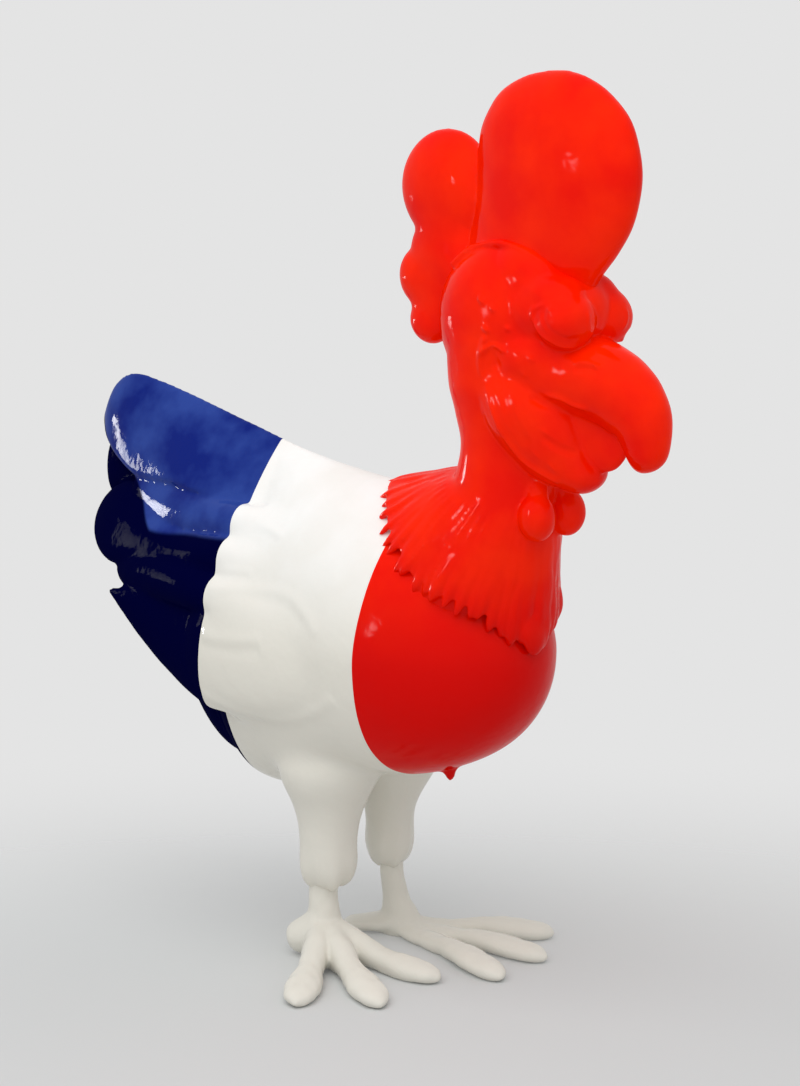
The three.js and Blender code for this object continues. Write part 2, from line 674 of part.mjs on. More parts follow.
add("tail_section", BLUE, form.subtract(cavity).intersect(slab(BLUE_JOINT + GAP, FAR)));
add(
  "torso_section",
  WHITE,
  form
    .subtract(cavity)
    .intersect(slab(RED_JOINT, BLUE_JOINT))
    .add(collar(RED_JOINT, 1))
    .add(collar(BLUE_JOINT, -1))
    .subtract(rodHoles),
);
add(
  "breast_section",
  RED,
  trunk(0).subtract(trunk(WALL, INNER)).intersect(slab(-FAR, RED_JOINT - GAP)).subtract(post(4)),
);
const trunkClear = trunk(-GAP);
add(
  "neck_hackle",
  RED,
  cape(0).subtract(neck(WALL, NECK_INNER, 0.244)).subtract(trunkClear),
);
const spigot = neck(WALL + GAP, NECK_INNER)
  .intersect(block([-FAR, -FAR, NECK.joint - COLLAR.depth], [FAR, FAR, NECK.joint + 5]))
  .add(neck(WALL - 1, NECK_INNER).intersect(block([-FAR, -FAR, NECK.joint + GAP], [FAR, FAR, NECK.joint + COLLAR.depth])))
  .subtract(neck(WALL + GAP + COLLAR.thickness, NECK_INNER));
add(
  "head",
  RED,
  skull(0)
    .add(swellings(0))
    .intersect(above(NECK.joint + GAP))
    .subtract(skull(WALL, NECK_INNER))
    .add(spigot)
    .subtract(spine(GAP)),
);
const headClear = skull(-GAP).add(swellings(GAP));
const upperClear = upperBill(GAP);
const hackleClear = cape(GAP);
add("comb", RED, wholeComb(0).subtract(frontLobe(WALL, 10)).subtract(headClear));
add("upper_beak", RED, upperBill(0).subtract(headClear));
const lower = lowerBill(0).add(tongue);
add("lower_beak", RED, lower.subtract(headClear).subtract(upperClear).subtract(hackleClear));
const eye = ball([-EYE.x, HEAD.y - EYE.fore, HEAD.z + EYE.up], [EYE.r, EYE.r, EYE.r], 12, 9);
addPair("eye", RED, eye, [headClear, wholeComb(GAP), upperClear]);
const wattleSeat = neckAt(WATTLE.z);
const wattle = ball([-WATTLE.x, wattleSeat.y - wattleSeat.r - WATTLE.fore, WATTLE.z], WATTLE.radii, 10, 7);
addPair("wattle", RED, wattle, [hackleClear, lowerBill(GAP)]);
addPair("wing", WHITE, wingCover(0).intersect(slab(-FAR, BLUE_JOINT)), [carcass(-GAP)]);
const thighWall = (leg) => thigh(leg, 0).subtract(thigh(leg, WALL, THIGH_INNER));
addPair("thigh", WHITE, thighWall(RIGHT), [trunkClear], mirrored(thighWall(LEFT)));
const bores = (x) => {
  const rod = bar([x, 0, DISC.z], [x, 0, 300], LEG.rod + GAP);
  return rod.add(bar([x, 0, -5], [x, 0, DISC.z + DISC.thickness + GAP], DISC.r + GAP, 16));
};
const boredFoot = (leg) => foot(leg).subtract(bores(-LEG.x));
addPair("foot", WHITE, boredFoot(RIGHT), [], mirrored(boredFoot(LEFT)));
addPair("leg_rod", STEEL, bar([-LEG.x, 0, DISC.z + DISC.thickness + GAP], [-LEG.x, 0, PLATE.z + 24], LEG.rod));
addPair("sole_disc", STEEL, bar([-LEG.x, 0, DISC.z], [-LEG.x, 0, DISC.z + DISC.thickness], DISC.r, 16));
add(
  "hip_plate",
  STEEL,
  block([-FAR, PLATE.y0, PLATE.z], [FAR, PLATE.y1, PLATE.z + PLATE.thickness])
    .intersect(trunk(WALL + GAP, INNER))
    .subtract(rodHoles)
    .subtract(bar([0, POST.y, 0], [0, POST.y, 300], POST.r + GAP)),
);
addPair("hip_nut", ZINC, nut(-LEG.x, 0, PLATE.z + PLATE.thickness + GAP, LEG.rod + GAP));
addPair("hip_locknut", ZINC, nut(-LEG.x, 0, PLATE.z - NUT.height - GAP, LEG.rod + GAP));
add("neck_post", STEEL, post(0));
add("comb_spine", STEEL, spine(0));

// The origin is on the ground, in the middle of the footprint
const box = new THREE.Box3().setFromObject(root);
root.position.set(-(box.min.x + box.max.x) / 2, -(box.min.y + box.max.y) / 2, 0);
export default root;
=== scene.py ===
"""Rooster garden sculpture: a glossy painted resin casting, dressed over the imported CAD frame.

Every form is a numpy surface in millimetres in the drawing frame of the CAD source: x to the rooster's left,
y to its tail, z up from the ground, origin between the leg rods. The surfaces of one casting are fused by a
voxel remesh and worked on like clay: softened, creased and combed. The body is then cut at the joints of its
blue, white and red sections.
"""
import itertools

import bpy
import numpy as np
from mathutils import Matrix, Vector


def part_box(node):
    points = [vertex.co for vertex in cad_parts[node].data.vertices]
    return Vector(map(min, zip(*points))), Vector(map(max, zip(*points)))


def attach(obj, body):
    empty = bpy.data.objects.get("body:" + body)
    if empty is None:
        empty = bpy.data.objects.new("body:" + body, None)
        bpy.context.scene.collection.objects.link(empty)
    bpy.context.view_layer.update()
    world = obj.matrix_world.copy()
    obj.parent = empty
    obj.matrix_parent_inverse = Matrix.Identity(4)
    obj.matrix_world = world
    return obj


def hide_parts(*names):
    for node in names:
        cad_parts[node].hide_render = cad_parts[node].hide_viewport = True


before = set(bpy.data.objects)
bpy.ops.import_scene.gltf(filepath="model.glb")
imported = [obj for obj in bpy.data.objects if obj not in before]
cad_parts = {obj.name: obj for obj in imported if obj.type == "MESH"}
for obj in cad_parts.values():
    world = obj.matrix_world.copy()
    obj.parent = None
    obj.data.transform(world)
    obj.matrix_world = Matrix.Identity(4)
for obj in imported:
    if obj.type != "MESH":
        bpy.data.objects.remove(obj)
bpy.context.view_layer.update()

# The drawing frame's origin lies between the leg rods. MM is the number of millimetres in a metre
MM = 1000
ROD_X = 60.0
rod_low, rod_high = (np.array(corner, float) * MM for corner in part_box("leg_rod_right"))
SHIFT = np.array([(rod_low[0] + rod_high[0]) / 2 + ROD_X, (rod_low[1] + rod_high[1]) / 2, 0.0])

# Joints between the coloured sections
BLUE_JOINT = 134.0
RED_JOINT = -120.0


# Numbers through points

def through(keys, values):
    """Cubic pieces through (key, value) pairs, each key's slope being that of its two neighbours."""
    keys, values = np.asarray(keys, float), np.asarray(values, float)
    index = np.arange(len(keys))
    after, before = np.minimum(index + 1, len(keys) - 1), np.maximum(index - 1, 0)
    slopes = (values[after] - values[before]) / (keys[after] - keys[before])

    def at(k):
        k = np.asarray(k, float)
        i = np.clip(np.searchsorted(keys, k, side="right") - 1, 0, len(keys) - 2)
        h = keys[i + 1] - keys[i]
        t = np.clip((k - keys[i]) / h, 0, 1)
        s = t * t * (3 - 2 * t)
        bend = t * (1 - t) ** 2 * slopes[i] - t * t * (1 - t) * slopes[i + 1]
        return values[i] * (1 - s) + values[i + 1] * s + h * bend

    return at


def table(names, rows):
    """One smooth function for each named column; the first column of the rows is the key."""
    columns = np.array(rows, float).T
    return {name: through(columns[0], column) for name, column in zip(names, columns[1:])}


def smooth(t):
    """0 below 0, 1 above 1, and a smooth step between."""
    t = np.clip(t, 0, 1)
    return t * t * (3 - 2 * t)


def spline(points, at):
    """Places on a smooth line through the given points, at shares of its length from 0 to 1."""
    points = np.array(points, float)
    keys = np.concatenate([[0], np.cumsum(np.sqrt(np.linalg.norm(np.diff(points, axis=0), axis=1)))])
    return np.stack([through(keys / keys[-1], points[:, k])(at) for k in range(3)], axis=-1)


def unit(vectors):
    """The vectors at length 1."""
    return vectors / np.maximum(np.linalg.norm(vectors, axis=-1, keepdims=True), 1e-9)


# Surfaces: each is a pair of points and faces, closed at both ends

def full_turn(count):
    """That many angles round a ring."""
    return np.linspace(0, 2 * np.pi, count, endpoint=False)


def grid(x, y, z):
    """Rings of points from coordinates that broadcast together."""
    return np.stack(np.broadcast_arrays(x, y, z), axis=-1)


def loft(rings):
    """A skin over rings of points, array (rings, around, 3); each end closes to the middle of its ring."""
    rings = np.asarray(rings, float)
    count, around = rings.shape[:2]
    row, column = np.meshgrid(np.arange(count - 1), np.arange(around), indexing="ij")
    a = row * around + column
    b = row * around + (column + 1) % around
    quads = np.stack([a, b, b + around, a + around], axis=-1).reshape(-1, 4)
    points = np.concatenate([rings.reshape(-1, 3), rings[[0, -1]].mean(axis=1)])
    edge = np.arange(around)
    after = (edge + 1) % around
    top = (count - 1) * around
    first, last = np.full(around, count * around), np.full(around, count * around + 1)
    start = np.stack([after, edge, first, first], axis=-1)
    end = np.stack([top + edge, top + after, last, last], axis=-1)
    return points, np.concatenate([quads, start, end])


def ball(centre, radii, around=48):
    """A ball with its own three radii: circles of latitude from pole to pole."""
    pole = np.pi / 2 - 0.03
    up = np.linspace(-pole, pole, around // 2)[:, None]
    turn = full_turn(around)
    rings = grid(np.cos(up) * np.cos(turn), np.cos(up) * np.sin(turn), np.sin(up))
    return loft(rings * np.array(radii, float) + np.array(centre, float))


def limb(path, tall, thick, lean=0.0, around=28, steps=44, blunt=0.0):
    """An oval section carried along a path. tall is its radius upwards and thick its radius sideways, both
    given along the path. lean tips its top inwards by degrees. Over the last share of the path, blunt, the
    section shrinks as a circle does."""
    t = np.sin(np.linspace(0, np.pi / 2, steps))
    line = spline(path, t)
    keys = np.linspace(0, 1, len(path))
    end = np.sqrt(1 - np.clip((t - 1 + blunt) / blunt, 0, 1) ** 2) if blunt else 1.0
    high, wide = (np.maximum(through(keys, values)(t) * end, 0.4)[:, None, None] for values in (tall, thick))
    ahead = unit(np.gradient(line, axis=0))
    out = unit(np.array([-1.0, 0, 0]) + ahead * ahead[:, :1])
    up = np.cross(out, ahead) * (-1 if path[-1][1] > path[0][1] else 1)
    tip = np.radians(lean)
    u = (np.cos(tip) * up - np.sin(tip) * out)[:, None]
    w = (np.cos(tip) * out + np.sin(tip) * up)[:, None]
    turn = full_turn(around)[:, None]
    return loft(line[:, None] + u * high * np.cos(turn) + w * wide * np.sin(turn))


def tube(path, radius, around=10, steps=70):
    """A round bead along a path; radius is a table along it."""
    t = np.linspace(0, 1, steps)
    line = spline(path, t)
    size = np.maximum(through(np.linspace(0, 1, len(radius)), radius)(t), 0.3)[:, None, None]
    ahead = unit(np.gradient(line, axis=0))
    side = unit(np.cross(ahead, [0.8, 0.1, 0.6]))
    up = np.cross(side, ahead)
    turn = full_turn(around)[:, None]
    return loft(line[:, None] + size * (side[:, None] * np.cos(turn) + up[:, None] * np.sin(turn)))


def mirrored(surface):
    """The same surface on the other side of the middle plane."""
    points, faces = surface
    return points * np.array([-1.0, 1, 1]), faces[:, [1, 0, 3, 2]]


def both(surfaces):
    """Surfaces of the right-hand side and their mirror images."""
    return [*surfaces, *(mirrored(s) for s in surfaces)]


def merged(surfaces):
    """Several surfaces as one list of points and faces."""
    offsets = np.cumsum([0] + [len(points) for points, _ in surfaces[:-1]])
    points = np.concatenate([points for points, _ in surfaces])
    return points, np.concatenate([faces + offset for (_, faces), offset in zip(surfaces, offsets)])


# Castings

def placed(name, data):
    """A new object in the scene."""
    thing = bpy.data.objects.new(name, data)
    bpy.context.scene.collection.objects.link(thing)
    return thing


def put(name, points, faces):
    """A mesh object from arrays in millimetres of the drawing frame; a face may repeat its last corner."""
    mesh = bpy.data.meshes.new(name)
    triangle = faces[:, 3] == faces[:, 2] if faces.shape[1] == 4 else np.ones(len(faces), bool)
    sizes = np.where(triangle, 3, faces.shape[1]).astype(np.int32)
    keep = np.arange(faces.shape[1])[None, :] < sizes[:, None]
    corners = faces[keep].astype(np.int32)
    mesh.vertices.add(len(points))
    mesh.vertices.foreach_set("co", ((points + SHIFT) / MM).astype(np.float32).ravel())
    mesh.loops.add(len(corners))
    mesh.loops.foreach_set("vertex_index", corners)
    mesh.polygons.add(len(faces))
    starts = np.concatenate([[0], np.cumsum(sizes)[:-1]])
    mesh.polygons.foreach_set("loop_start", starts.astype(np.int32))
    mesh.polygons.foreach_set("use_smooth", np.ones(len(faces), bool))
    mesh.update(calc_edges=True)
    mesh.validate()
    return placed(name, mesh)


def read(mesh):
    """Points in millimetres and triangles of a Blender mesh."""
    points = np.empty(len(mesh.vertices) * 3, np.float32)
    mesh.vertices.foreach_get("co", points)
    mesh.calc_loop_triangles()
    triangles = np.empty(len(mesh.loop_triangles) * 3, np.int32)
    mesh.loop_triangles.foreach_get("vertices", triangles)
    return points.reshape(-1, 3).astype(float) * MM - SHIFT, triangles.reshape(-1, 3)


def nearest(points, line):
    """Each point's distance to a chain of straight pieces, and its nearest place as a share of the chain."""
    steps = np.diff(line, axis=0)
    lengths = np.linalg.norm(steps, axis=1)
    starts = np.concatenate([[0], np.cumsum(lengths)])
    best, where = np.full(len(points), np.inf), np.zeros(len(points))
    for start, step, length, before in zip(line, steps, lengths, starts):
        along = np.clip((points - start) @ step / length**2, 0, 1)
        gap = np.linalg.norm(points - start - along[:, None] * step, axis=1)
        closer = gap < best
        best[closer] = gap[closer]
        where[closer] = (before + along[closer] * length) / starts[-1]
    return best, where


def sides(radius, *places):
    """Spots for Clay.soften at the places and their mirror images, as (centre, radius) pairs."""
    return [((side * x, y, z), radius) for side in (-1, 1) for x, y, z in places]


# Shares of the way that softening moves a point, in and back; a stroke's reach in widths and its fade in mm
SOFTEN_IN, SOFTEN_BACK = 0.6, 0.25
STROKE_REACH, STROKE_FADE = 2.6, 8


class Clay:
    """The fused skin of several surfaces, worked on before it is cast. voxel is its points' spacing."""

    def __init__(self, surfaces, voxel):
        lump = put("lump", *merged(surfaces))
        remesh = lump.modifiers.new("fuse", "REMESH")
        remesh.mode = "VOXEL"
        remesh.voxel_size = voxel / MM
        skin = bpy.data.meshes.new_from_object(lump.evaluated_get(bpy.context.evaluated_depsgraph_get()))
        self.points, self.triangles = read(skin)
        bpy.data.objects.remove(lump)
        bpy.data.meshes.remove(skin)
        edges = np.concatenate([self.triangles[:, pair] for pair in ([0, 1], [1, 2], [2, 0])])
        self.edges = np.unique(np.sort(edges, axis=1), axis=0)
        self.valence = np.bincount(self.edges.ravel(), minlength=len(self.points))[:, None]

    def mean(self, values):
        """The mean of each point's neighbours."""
        a, b = self.edges.T
        count = len(self.points)
        total = [np.bincount(a, values[b, k], count) + np.bincount(b, values[a, k], count) for k in range(3)]
        return np.stack(total, axis=1) / self.valence

    def soften(self, rounds, spots=None, before=None):
        """Moves each point towards its neighbours' mean and part of the way back, which rounds edges and
        keeps volume. With spots, (centre, radius) pairs, only the skin near them is moved, fading out at the
        radius. With before, only the skin before that y is moved, fully from 40 mm before it."""
        amount = 1.0
        if spots is not None:
            gaps = [np.linalg.norm(self.points - np.array(c, float), axis=1) / r for c, r in spots]
            amount = smooth(1.6 - 1.6 * np.min(gaps, axis=0))[:, None]
        if before is not None:
            amount = amount * smooth((before - self.points[:, 1:2]) / 40)
        for _ in range(rounds):
            self.points = self.points + SOFTEN_IN * amount * (self.mean(self.points) - self.points)
            self.points = self.points - SOFTEN_BACK * amount * (self.mean(self.points) - self.points)

    def normals(self):
        """Each point's normal: the sum of its triangles' normals by area."""
        a, b, c = (self.points[self.triangles[:, k]] for k in range(3))
        face = np.cross(b - a, c - a)
        corners, count = self.triangles.T, len(self.points)
        total = [sum(np.bincount(corner, face[:, j], count) for corner in corners) for j in range(3)]
        return unit(np.stack(total, axis=1))

    def strokes(self, marks):
        """Raises or sinks soft lines on both sides. Each mark is (path, width, height): the skin moves along
        its normal by the height times a bell curve of its distance to the path, fading out at both ends."""
        normals = self.normals()
        move = np.zeros(len(self.points))
        for side, (path, width, height) in itertools.product((1, -1), marks):
            line = spline(np.array(path) * [side, 1, 1], np.linspace(0, 1, 8 * len(path)))
            reach = STROKE_REACH * width
            inside = (self.points > line.min(axis=0) - reach) & (self.points < line.max(axis=0) + reach)
            near = np.flatnonzero(np.all(inside, axis=1))
            gap, along = nearest(self.points[near], line)
            length = np.linalg.norm(np.diff(line, axis=0), axis=1).sum()
            fade = smooth(np.minimum(along, 1 - along) * length / STROKE_FADE)
            move[near] += height * fade * np.exp(-((gap / width) ** 2))
        self.points = self.points + normals * move[:, None]

    def wobble(self, height, length):
        """Waves of a hand-finished surface: a sum of sines of place, of about the given length."""
        p = self.points * (2 * np.pi / length)
        x, y, z = p.T
        wave = np.sin(x + 0.7 * y + 1.3) + np.sin(0.8 * y - 0.6 * z + 2.1) + np.sin(0.9 * z + 0.5 * x + 4.0)
        wave += 0.6 * np.sin(1.9 * x - 1.4 * z + 0.4) + 0.6 * np.sin(1.7 * y + 1.1 * z)
        self.points = self.points + self.normals() * (wave * height / 3)[:, None]

    def skin(self):
        """Points, triangles and normals, as a casting takes them."""
        return self.points, self.triangles, self.normals()


def clipped(skin, way, value):
    """The part of a skin that lies further than value along the unit vector way, with points and normals
    made on the cut."""
    points, triangles, normals = skin
    height = points @ np.array(way, float) - value
    inside = height > 0
    count = inside[triangles].sum(axis=1)
    parts = [triangles[count == 3]]
    new_points, new_normals = [points], [normals]
    total = len(points)
    for number in (1, 2):
        cut = triangles[count == number]
        lone = np.argmax(inside[cut] == (number == 1), axis=1)
        a, b, c = (cut[np.arange(len(cut)), (lone + k) % 3] for k in range(3))
        made = []
        for other in (b, c):
            t = (height[a] / (height[a] - height[other]))[:, None]
            made.append(np.arange(len(cut)) + total)
            new_points.append(points[a] * (1 - t) + points[other] * t)
            new_normals.append(unit(normals[a] * (1 - t) + normals[other] * t))
            total += len(cut)
        ab, ac = made
        if number == 1:
            parts.append(np.stack([a, ab, ac], axis=1))
        else:
            parts.append(np.stack([ab, b, c], axis=1))
            parts.append(np.stack([ab, c, ac], axis=1))
    used, numbers = np.unique(np.concatenate(parts), return_inverse=True)
    return np.concatenate(new_points)[used], numbers.reshape(-1, 3), np.concatenate(new_normals)[used]


def casting(name, skin, paint, nodes, top=570.0, span=180.0):
    """A finished piece from points, triangles and normals, standing for the CAD nodes named. Its attribute
    "low" goes from 0 to 1 over the span under the height top; it carries painted shade, darkening the
    paint towards the bottom."""
    points, triangles, normals = skin
    piece = put(name, points, triangles)
    # Painted shade towards the bottom, carried in the attribute "low"
    low = piece.data.attributes.new("low", "FLOAT", "POINT")
    low.data.foreach_set("value", smooth((top - points[:, 2]) / span).astype(np.float32))
    piece.data.normals_split_custom_set_from_vertices(normals.astype(np.float32))
    piece.data.materials.append(paint)
    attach(piece, "root")
    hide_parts(*nodes)


# Trunk: the places along y of its widest breast and rump, and how far it reaches past them

BREAST_Y, BREAST_REACH = -60.0, 220.0
RUMP_Y, RUMP_REACH = 180.0, 104.0
TRUNK = table(
    ["top", "mid", "bottom", "half", "upper", "lower"],
    [
        [-60, 600, 410, 243, 148, 1.65, 2.3],
        [0, 606, 405, 217, 146, 1.6, 2.3],
        [60, 615, 400, 199, 138, 1.5, 2.2],
        [134, 631, 400, 193, 119, 1.2, 2.1],
        [180, 641, 415, 212, 100, 1.2, 2.0],
    ],
)


def trunk_section(y):
    """The trunk's section at y, and how far y is past the widest breast or rump, as a share of the reach."""
    at = {name: column(np.clip(y, BREAST_Y, RUMP_Y)) for name, column in TRUNK.items()}
    past = np.maximum((BREAST_Y - y) / BREAST_REACH, 0) + np.maximum((y - RUMP_Y) / RUMP_REACH, 0)
    return at, past


def trunk(around=96):
    """Superellipse sections along y; past the widest breast and the rump they shrink as a circle does."""
    pole = np.pi / 2 - 0.02
    front = BREAST_Y - BREAST_REACH * np.sin(np.linspace(pole, 0, 40))
    middle = np.linspace(BREAST_Y, RUMP_Y, 50)[1:-1]
    back = RUMP_Y + RUMP_REACH * np.sin(np.linspace(0, pole, 24))
    y = np.concatenate([front, middle, back])[:, None]
    at, past = trunk_section(y)
    shrink = np.sqrt(np.maximum(0, 1 - past**2))
    turn = full_turn(around)
    c, s = np.cos(turn), np.sin(turn)
    power = 2 / np.where(s > 0, at["upper"], at["lower"])
    height = np.where(s > 0, at["top"] - at["mid"], at["mid"] - at["bottom"]) * shrink
    x = np.sign(c) * np.abs(c) ** power * at["half"] * shrink
    z = at["mid"] + np.sign(s) * np.abs(s) ** power * height
    return loft(grid(x, y, z))


def trunk_depth(p):
    """How far out points lie in the trunk: under 1 inside, 1 on its skin."""
    at, past = trunk_section(p[..., 1])
    up = p[..., 2] > at["mid"]
    power = np.where(up, at["upper"], at["lower"])
    height = np.where(up, at["top"] - at["mid"], at["mid"] - at["bottom"])
    flat = np.abs(p[..., 0] / at["half"]) ** power + np.abs((p[..., 2] - at["mid"]) / height) ** power
    return np.sqrt(flat ** (2 / power) + past**2)


# Tail and wings, the right-hand side of each pair

HOOD_START, HOOD_LENGTH, EAVE = 20, 447.5, 16
HOOD = table(
    ["top", "eave", "half", "upper"],
    [
        [20, 600, 552, 36, 1.3],
        [80, 618, 553, 50, 1.2],
        [134, 632, 552, 62, 1.1],
        [211, 650, 560, 66, 1.2],
        [285, 668, 568, 60, 1.25],
        [361, 684, 568, 48, 1.3],
        [410, 689, 586, 36, 1.4],
        [445, 672, 606, 22, 1.6],
        [468, 632, 624, 5, 2],
    ],
)

# Height along y under which shade is painted on the tail: the hood's rim at the rear, the covert's before
# that
PAINTED_SHADE_RIM = through(
    [134, 210, 290, 308, 328, 346, 362, 390, 412, 432, 468],
    [518, 512, 506, 516, 535, 552, 562, 570, 580, 594, 640],
)


def hood(around=72):
    """Top feather of the tail: a tent in section, with round eaves that cover the side feathers."""
    y = (HOOD_START + HOOD_LENGTH * np.sin(np.linspace(0, np.pi / 2, 80)))[:, None]
    top, eave, half, upper = (HOOD[name](y) for name in ("top", "eave", "half", "upper"))
    turn = full_turn(around)
    c, s = np.cos(turn), np.sin(turn)
    x = np.sign(c) * np.abs(c) ** (2 / upper) * half
    z = eave + np.sign(s) * np.where(s > 0, np.abs(s) ** (2 / upper) * (top - eave), np.abs(s) * EAVE)
    return loft(grid(x, y, z))


def wing_feathers():
    """Feather groups of one side: three rows from the flight feathers up, the wing's cover, the covert under
    the hood's rim, and a filler behind it."""
    primary = limb(
        [
            [-104, -20, 376],
            [-124, 81, 368],
            [-122, 134, 372],
            [-112, 205, 386],
            [-104, 270, 402],
            [-97, 358, 419],
        ],
        [52, 64, 63, 53, 37, 3],
        [22, 26, 25, 18, 12, 3],
        lean=6,
    )
    secondary = limb(
        [[-112, -40, 455], [-122, 60, 449], [-117, 134, 447], [-102, 235, 450], [-76, 366, 446]],
        [12, 24, 28, 30, 24],
        [5, 16, 24, 18, 8],
        lean=14,
        blunt=0.12,
    )
    tertial = limb(
        [
            [-90, -40, 500],
            [-96, 60, 494],
            [-98, 134, 493],
            [-84, 235, 484],
            [-60, 340, 500],
            [-36, 449, 503],
        ],
        [9, 20, 27, 30, 56, 57],
        [5, 14, 20, 18, 16, 12],
        lean=22,
        blunt=0.16,
    )
    cover = limb(
        [[-108, -100, 420], [-124, -40, 405], [-130, 40, 392], [-128, 134, 384], [-118, 190, 384]],
        [14, 62, 78, 66, 40],
        [8, 22, 26, 22, 12],
        lean=8,
    )
    covert = limb(
        [
            [-50, -20, 545],
            [-66, 60, 536],
            [-72, 134, 531],
            [-66, 200, 529],
            [-57, 270, 531],
            [-44, 330, 545],
            [-36, 366, 566],
        ],
        [16, 24, 26, 28, 31, 32, 22],
        [10, 18, 21, 20, 18, 14, 8],
        lean=18,
        blunt=0.12,
    )
    core = limb([[-6, 260, 552], [-6, 360, 556], [-6, 458, 570]], [36, 50, 46], [36, 22, 12], blunt=0.12)
    return [primary, secondary, tertial, cover, covert, core]


# Legs

THIGH_FOOT, THIGH_TOP = 90, 285
THIGH = table(
    ["x", "r"],
    [
        [90, 60, 18],
        [97, 60, 27],
        [108, 60, 33],
        [122, 60, 36],
        [150, 60, 36],
        [175, 59, 39],
        [200, 58, 47],
        [225, 57, 59],
        [250, 52, 67],
        [285, 40, 60],
    ],
)


def thigh(shift, slim, phase, around=64):
    """Rings about the leg, widening into the belly, with folds that deepen towards a ragged hem. shift and
    slim move and narrow the trouser part; phase turns the folds."""
    z = np.concatenate([np.linspace(THIGH_FOOT, 130, 40), np.linspace(133, THIGH_TOP, 50)])[:, None]
    turn = full_turn(around)
    lower = smooth((215 - z) / 60)
    fold = 1.3 * np.sin(5 * turn + phase) + 0.8 * np.sin(9 * turn + 2 * phase)
    drop = 2.6 * np.sin(4 * turn + phase) + 1.6 * np.sin(7 * turn)
    radius = THIGH["r"](z) * (1 + (slim - 1) * lower) + fold * smooth((165 - z) / 60)
    x = -THIGH["x"](z) + shift[0] * lower + radius * np.cos(turn)
    y = shift[1] * lower + radius * np.sin(turn)
    return loft(grid(x, y, z + drop * smooth((135 - z) / 35)))


def over_ground(ankle, tip, heights):
    """A path from ankle to tip at the given heights, (share of the way, z) pairs."""
    a, b = np.array([*ankle, 0.0]), np.array([*tip, 0.0])
    return [a + (b - a) * t + np.array([0, 0, z]) for t, z in heights]


def toe(ankle, tip, rise):
    """An oval limb along the ground with a knuckle, a flat pad and a short blunt claw at its end. rise
    scales its root's height, and the knuckle's a little."""
    knuckle = 10 + 4 * rise
    heights = [(0, 20 * rise), (0.3, 16 * rise), (0.6, 12), (0.84, 10), (0.93, 9), (1, 7)]
    tall = [24 * rise, 20 * rise, knuckle, knuckle, 11, 7]
    return limb(over_ground(ankle, tip, heights), tall, [26, 20, 16, 22, 19, 10], steps=30, blunt=0.14)


def spur(ankle, tip, height):
    """The short hind toe: a broad pad behind the heel that slopes down from the shank. height is about that
    of its top half way along."""
    heights = [(t, height * z) for t, z in ((0, 0.72), (0.5, 0.55), (0.8, 0.44), (1, 0.36))]
    tall = [height * share for share in (0.8, 0.57, 0.46, 0.36)]
    return limb(over_ground(ankle, tip, heights), tall, [30, 28, 25, 20], steps=30, blunt=0.3)


def foot(ankle, tips, heel, height, top, radius, rise):
    """Shank, three toes and the spur. heel and height are the spur's, top is the shank's place in the
    thigh's hem, radius is the shank's, and rise scales the instep."""
    x, y = ankle
    middle = [(x + top[0]) / 2, (y + top[1]) / 2, 22 + 32 * rise]
    size = [26, 25, radius + 2, radius, radius]
    leg = limb([[x, y, -2], [x, y, 22 * rise], middle, [*top, 82], [*top, 112]], size, size)
    return [leg, *(toe(ankle, tip, rise) for tip in tips), spur(ankle, heel, height)]


# Neck, head and comb

NECK_FOOT, NECK_TOP, OUTSIDE = 400, 790, 9.0
NECK = table(
    ["y", "r"],
    [
        [400, -152, 80],
        [440, -160, 90],
        [500, -182, 93],
        [530, -194, 88],
        [560, -207, 79],
        [590, -226, 70],
        [623, -237, 64],
        [667, -243, 61],
        [705, -239, 65],
        [735, -237, 71],
        [790, -238, 74],
    ],
)


def neck(around=72):
    """Level circles up the neck."""
    z = np.linspace(NECK_FOOT, NECK_TOP, 90)[:, None]
    turn = full_turn(around)
    x = NECK["r"](z) * np.cos(turn)
    return loft(grid(x, NECK["y"](z) + NECK["r"](z) * np.sin(turn), z))


def neck_depth(p):
    """How far out points lie in the neck: under 1 inside, 1 on its skin, OUTSIDE above and below it."""
    z = p[..., 2]
    flat = np.hypot(p[..., 0], p[..., 1] - NECK["y"](z)) / NECK["r"](z)
    return np.where((z > NECK_FOOT) & (z < NECK_TOP), flat, OUTSIDE)


# The hackle: its upper edge's height at the nape and fall to the breast, the axis that its turn is about, the
# middle line inside it, and its lower edge on the right side from the nape to the middle of the breast
NAPE_Z, NAPE_FALL = 634, 36
AXIS_Y = -170
SPINE_TOP, SPINE_END = np.array([0, -215, 610.0]), np.array([0, -172, 500.0])
HEM = [
    [0, -54, 600],
    [-27, -62, 594],
    [-66, -92, 566],
    [-87, -119, 538],
    [-98, -150, 511],
    [-98, -176, 494],
    [-95, -205, 483],
    [-85, -229, 474],
    [-69, -248, 463],
    [-52, -260, 447],
    [-29, -275, 429],
    [0, -284, 416],
]


def in_body(p):
    """Whether points lie in the neck or the trunk."""
    return np.minimum(neck_depth(p), trunk_depth(p)) < 1


def on_skin(origins, targets):
    """The outermost points of neck and trunk on the rays from the origins through the targets, by halving,
    and the rays."""
    ray = unit(targets - origins)
    reach = np.linspace(20, 260, 100)
    inside = in_body(origins[..., None, :] + ray[..., None, :] * reach[:, None])
    last = inside.shape[-1] - 1 - np.argmax(inside[..., ::-1], axis=-1)
    low, high = reach[last], reach[np.minimum(last + 1, len(reach) - 1)]
    for _ in range(12):
        middle = (low + high) / 2
        within = in_body(origins + ray * middle[..., None])
        low, high = np.where(within, middle, low), np.where(within, high, middle)
    return origins + ray * low[..., None], ray


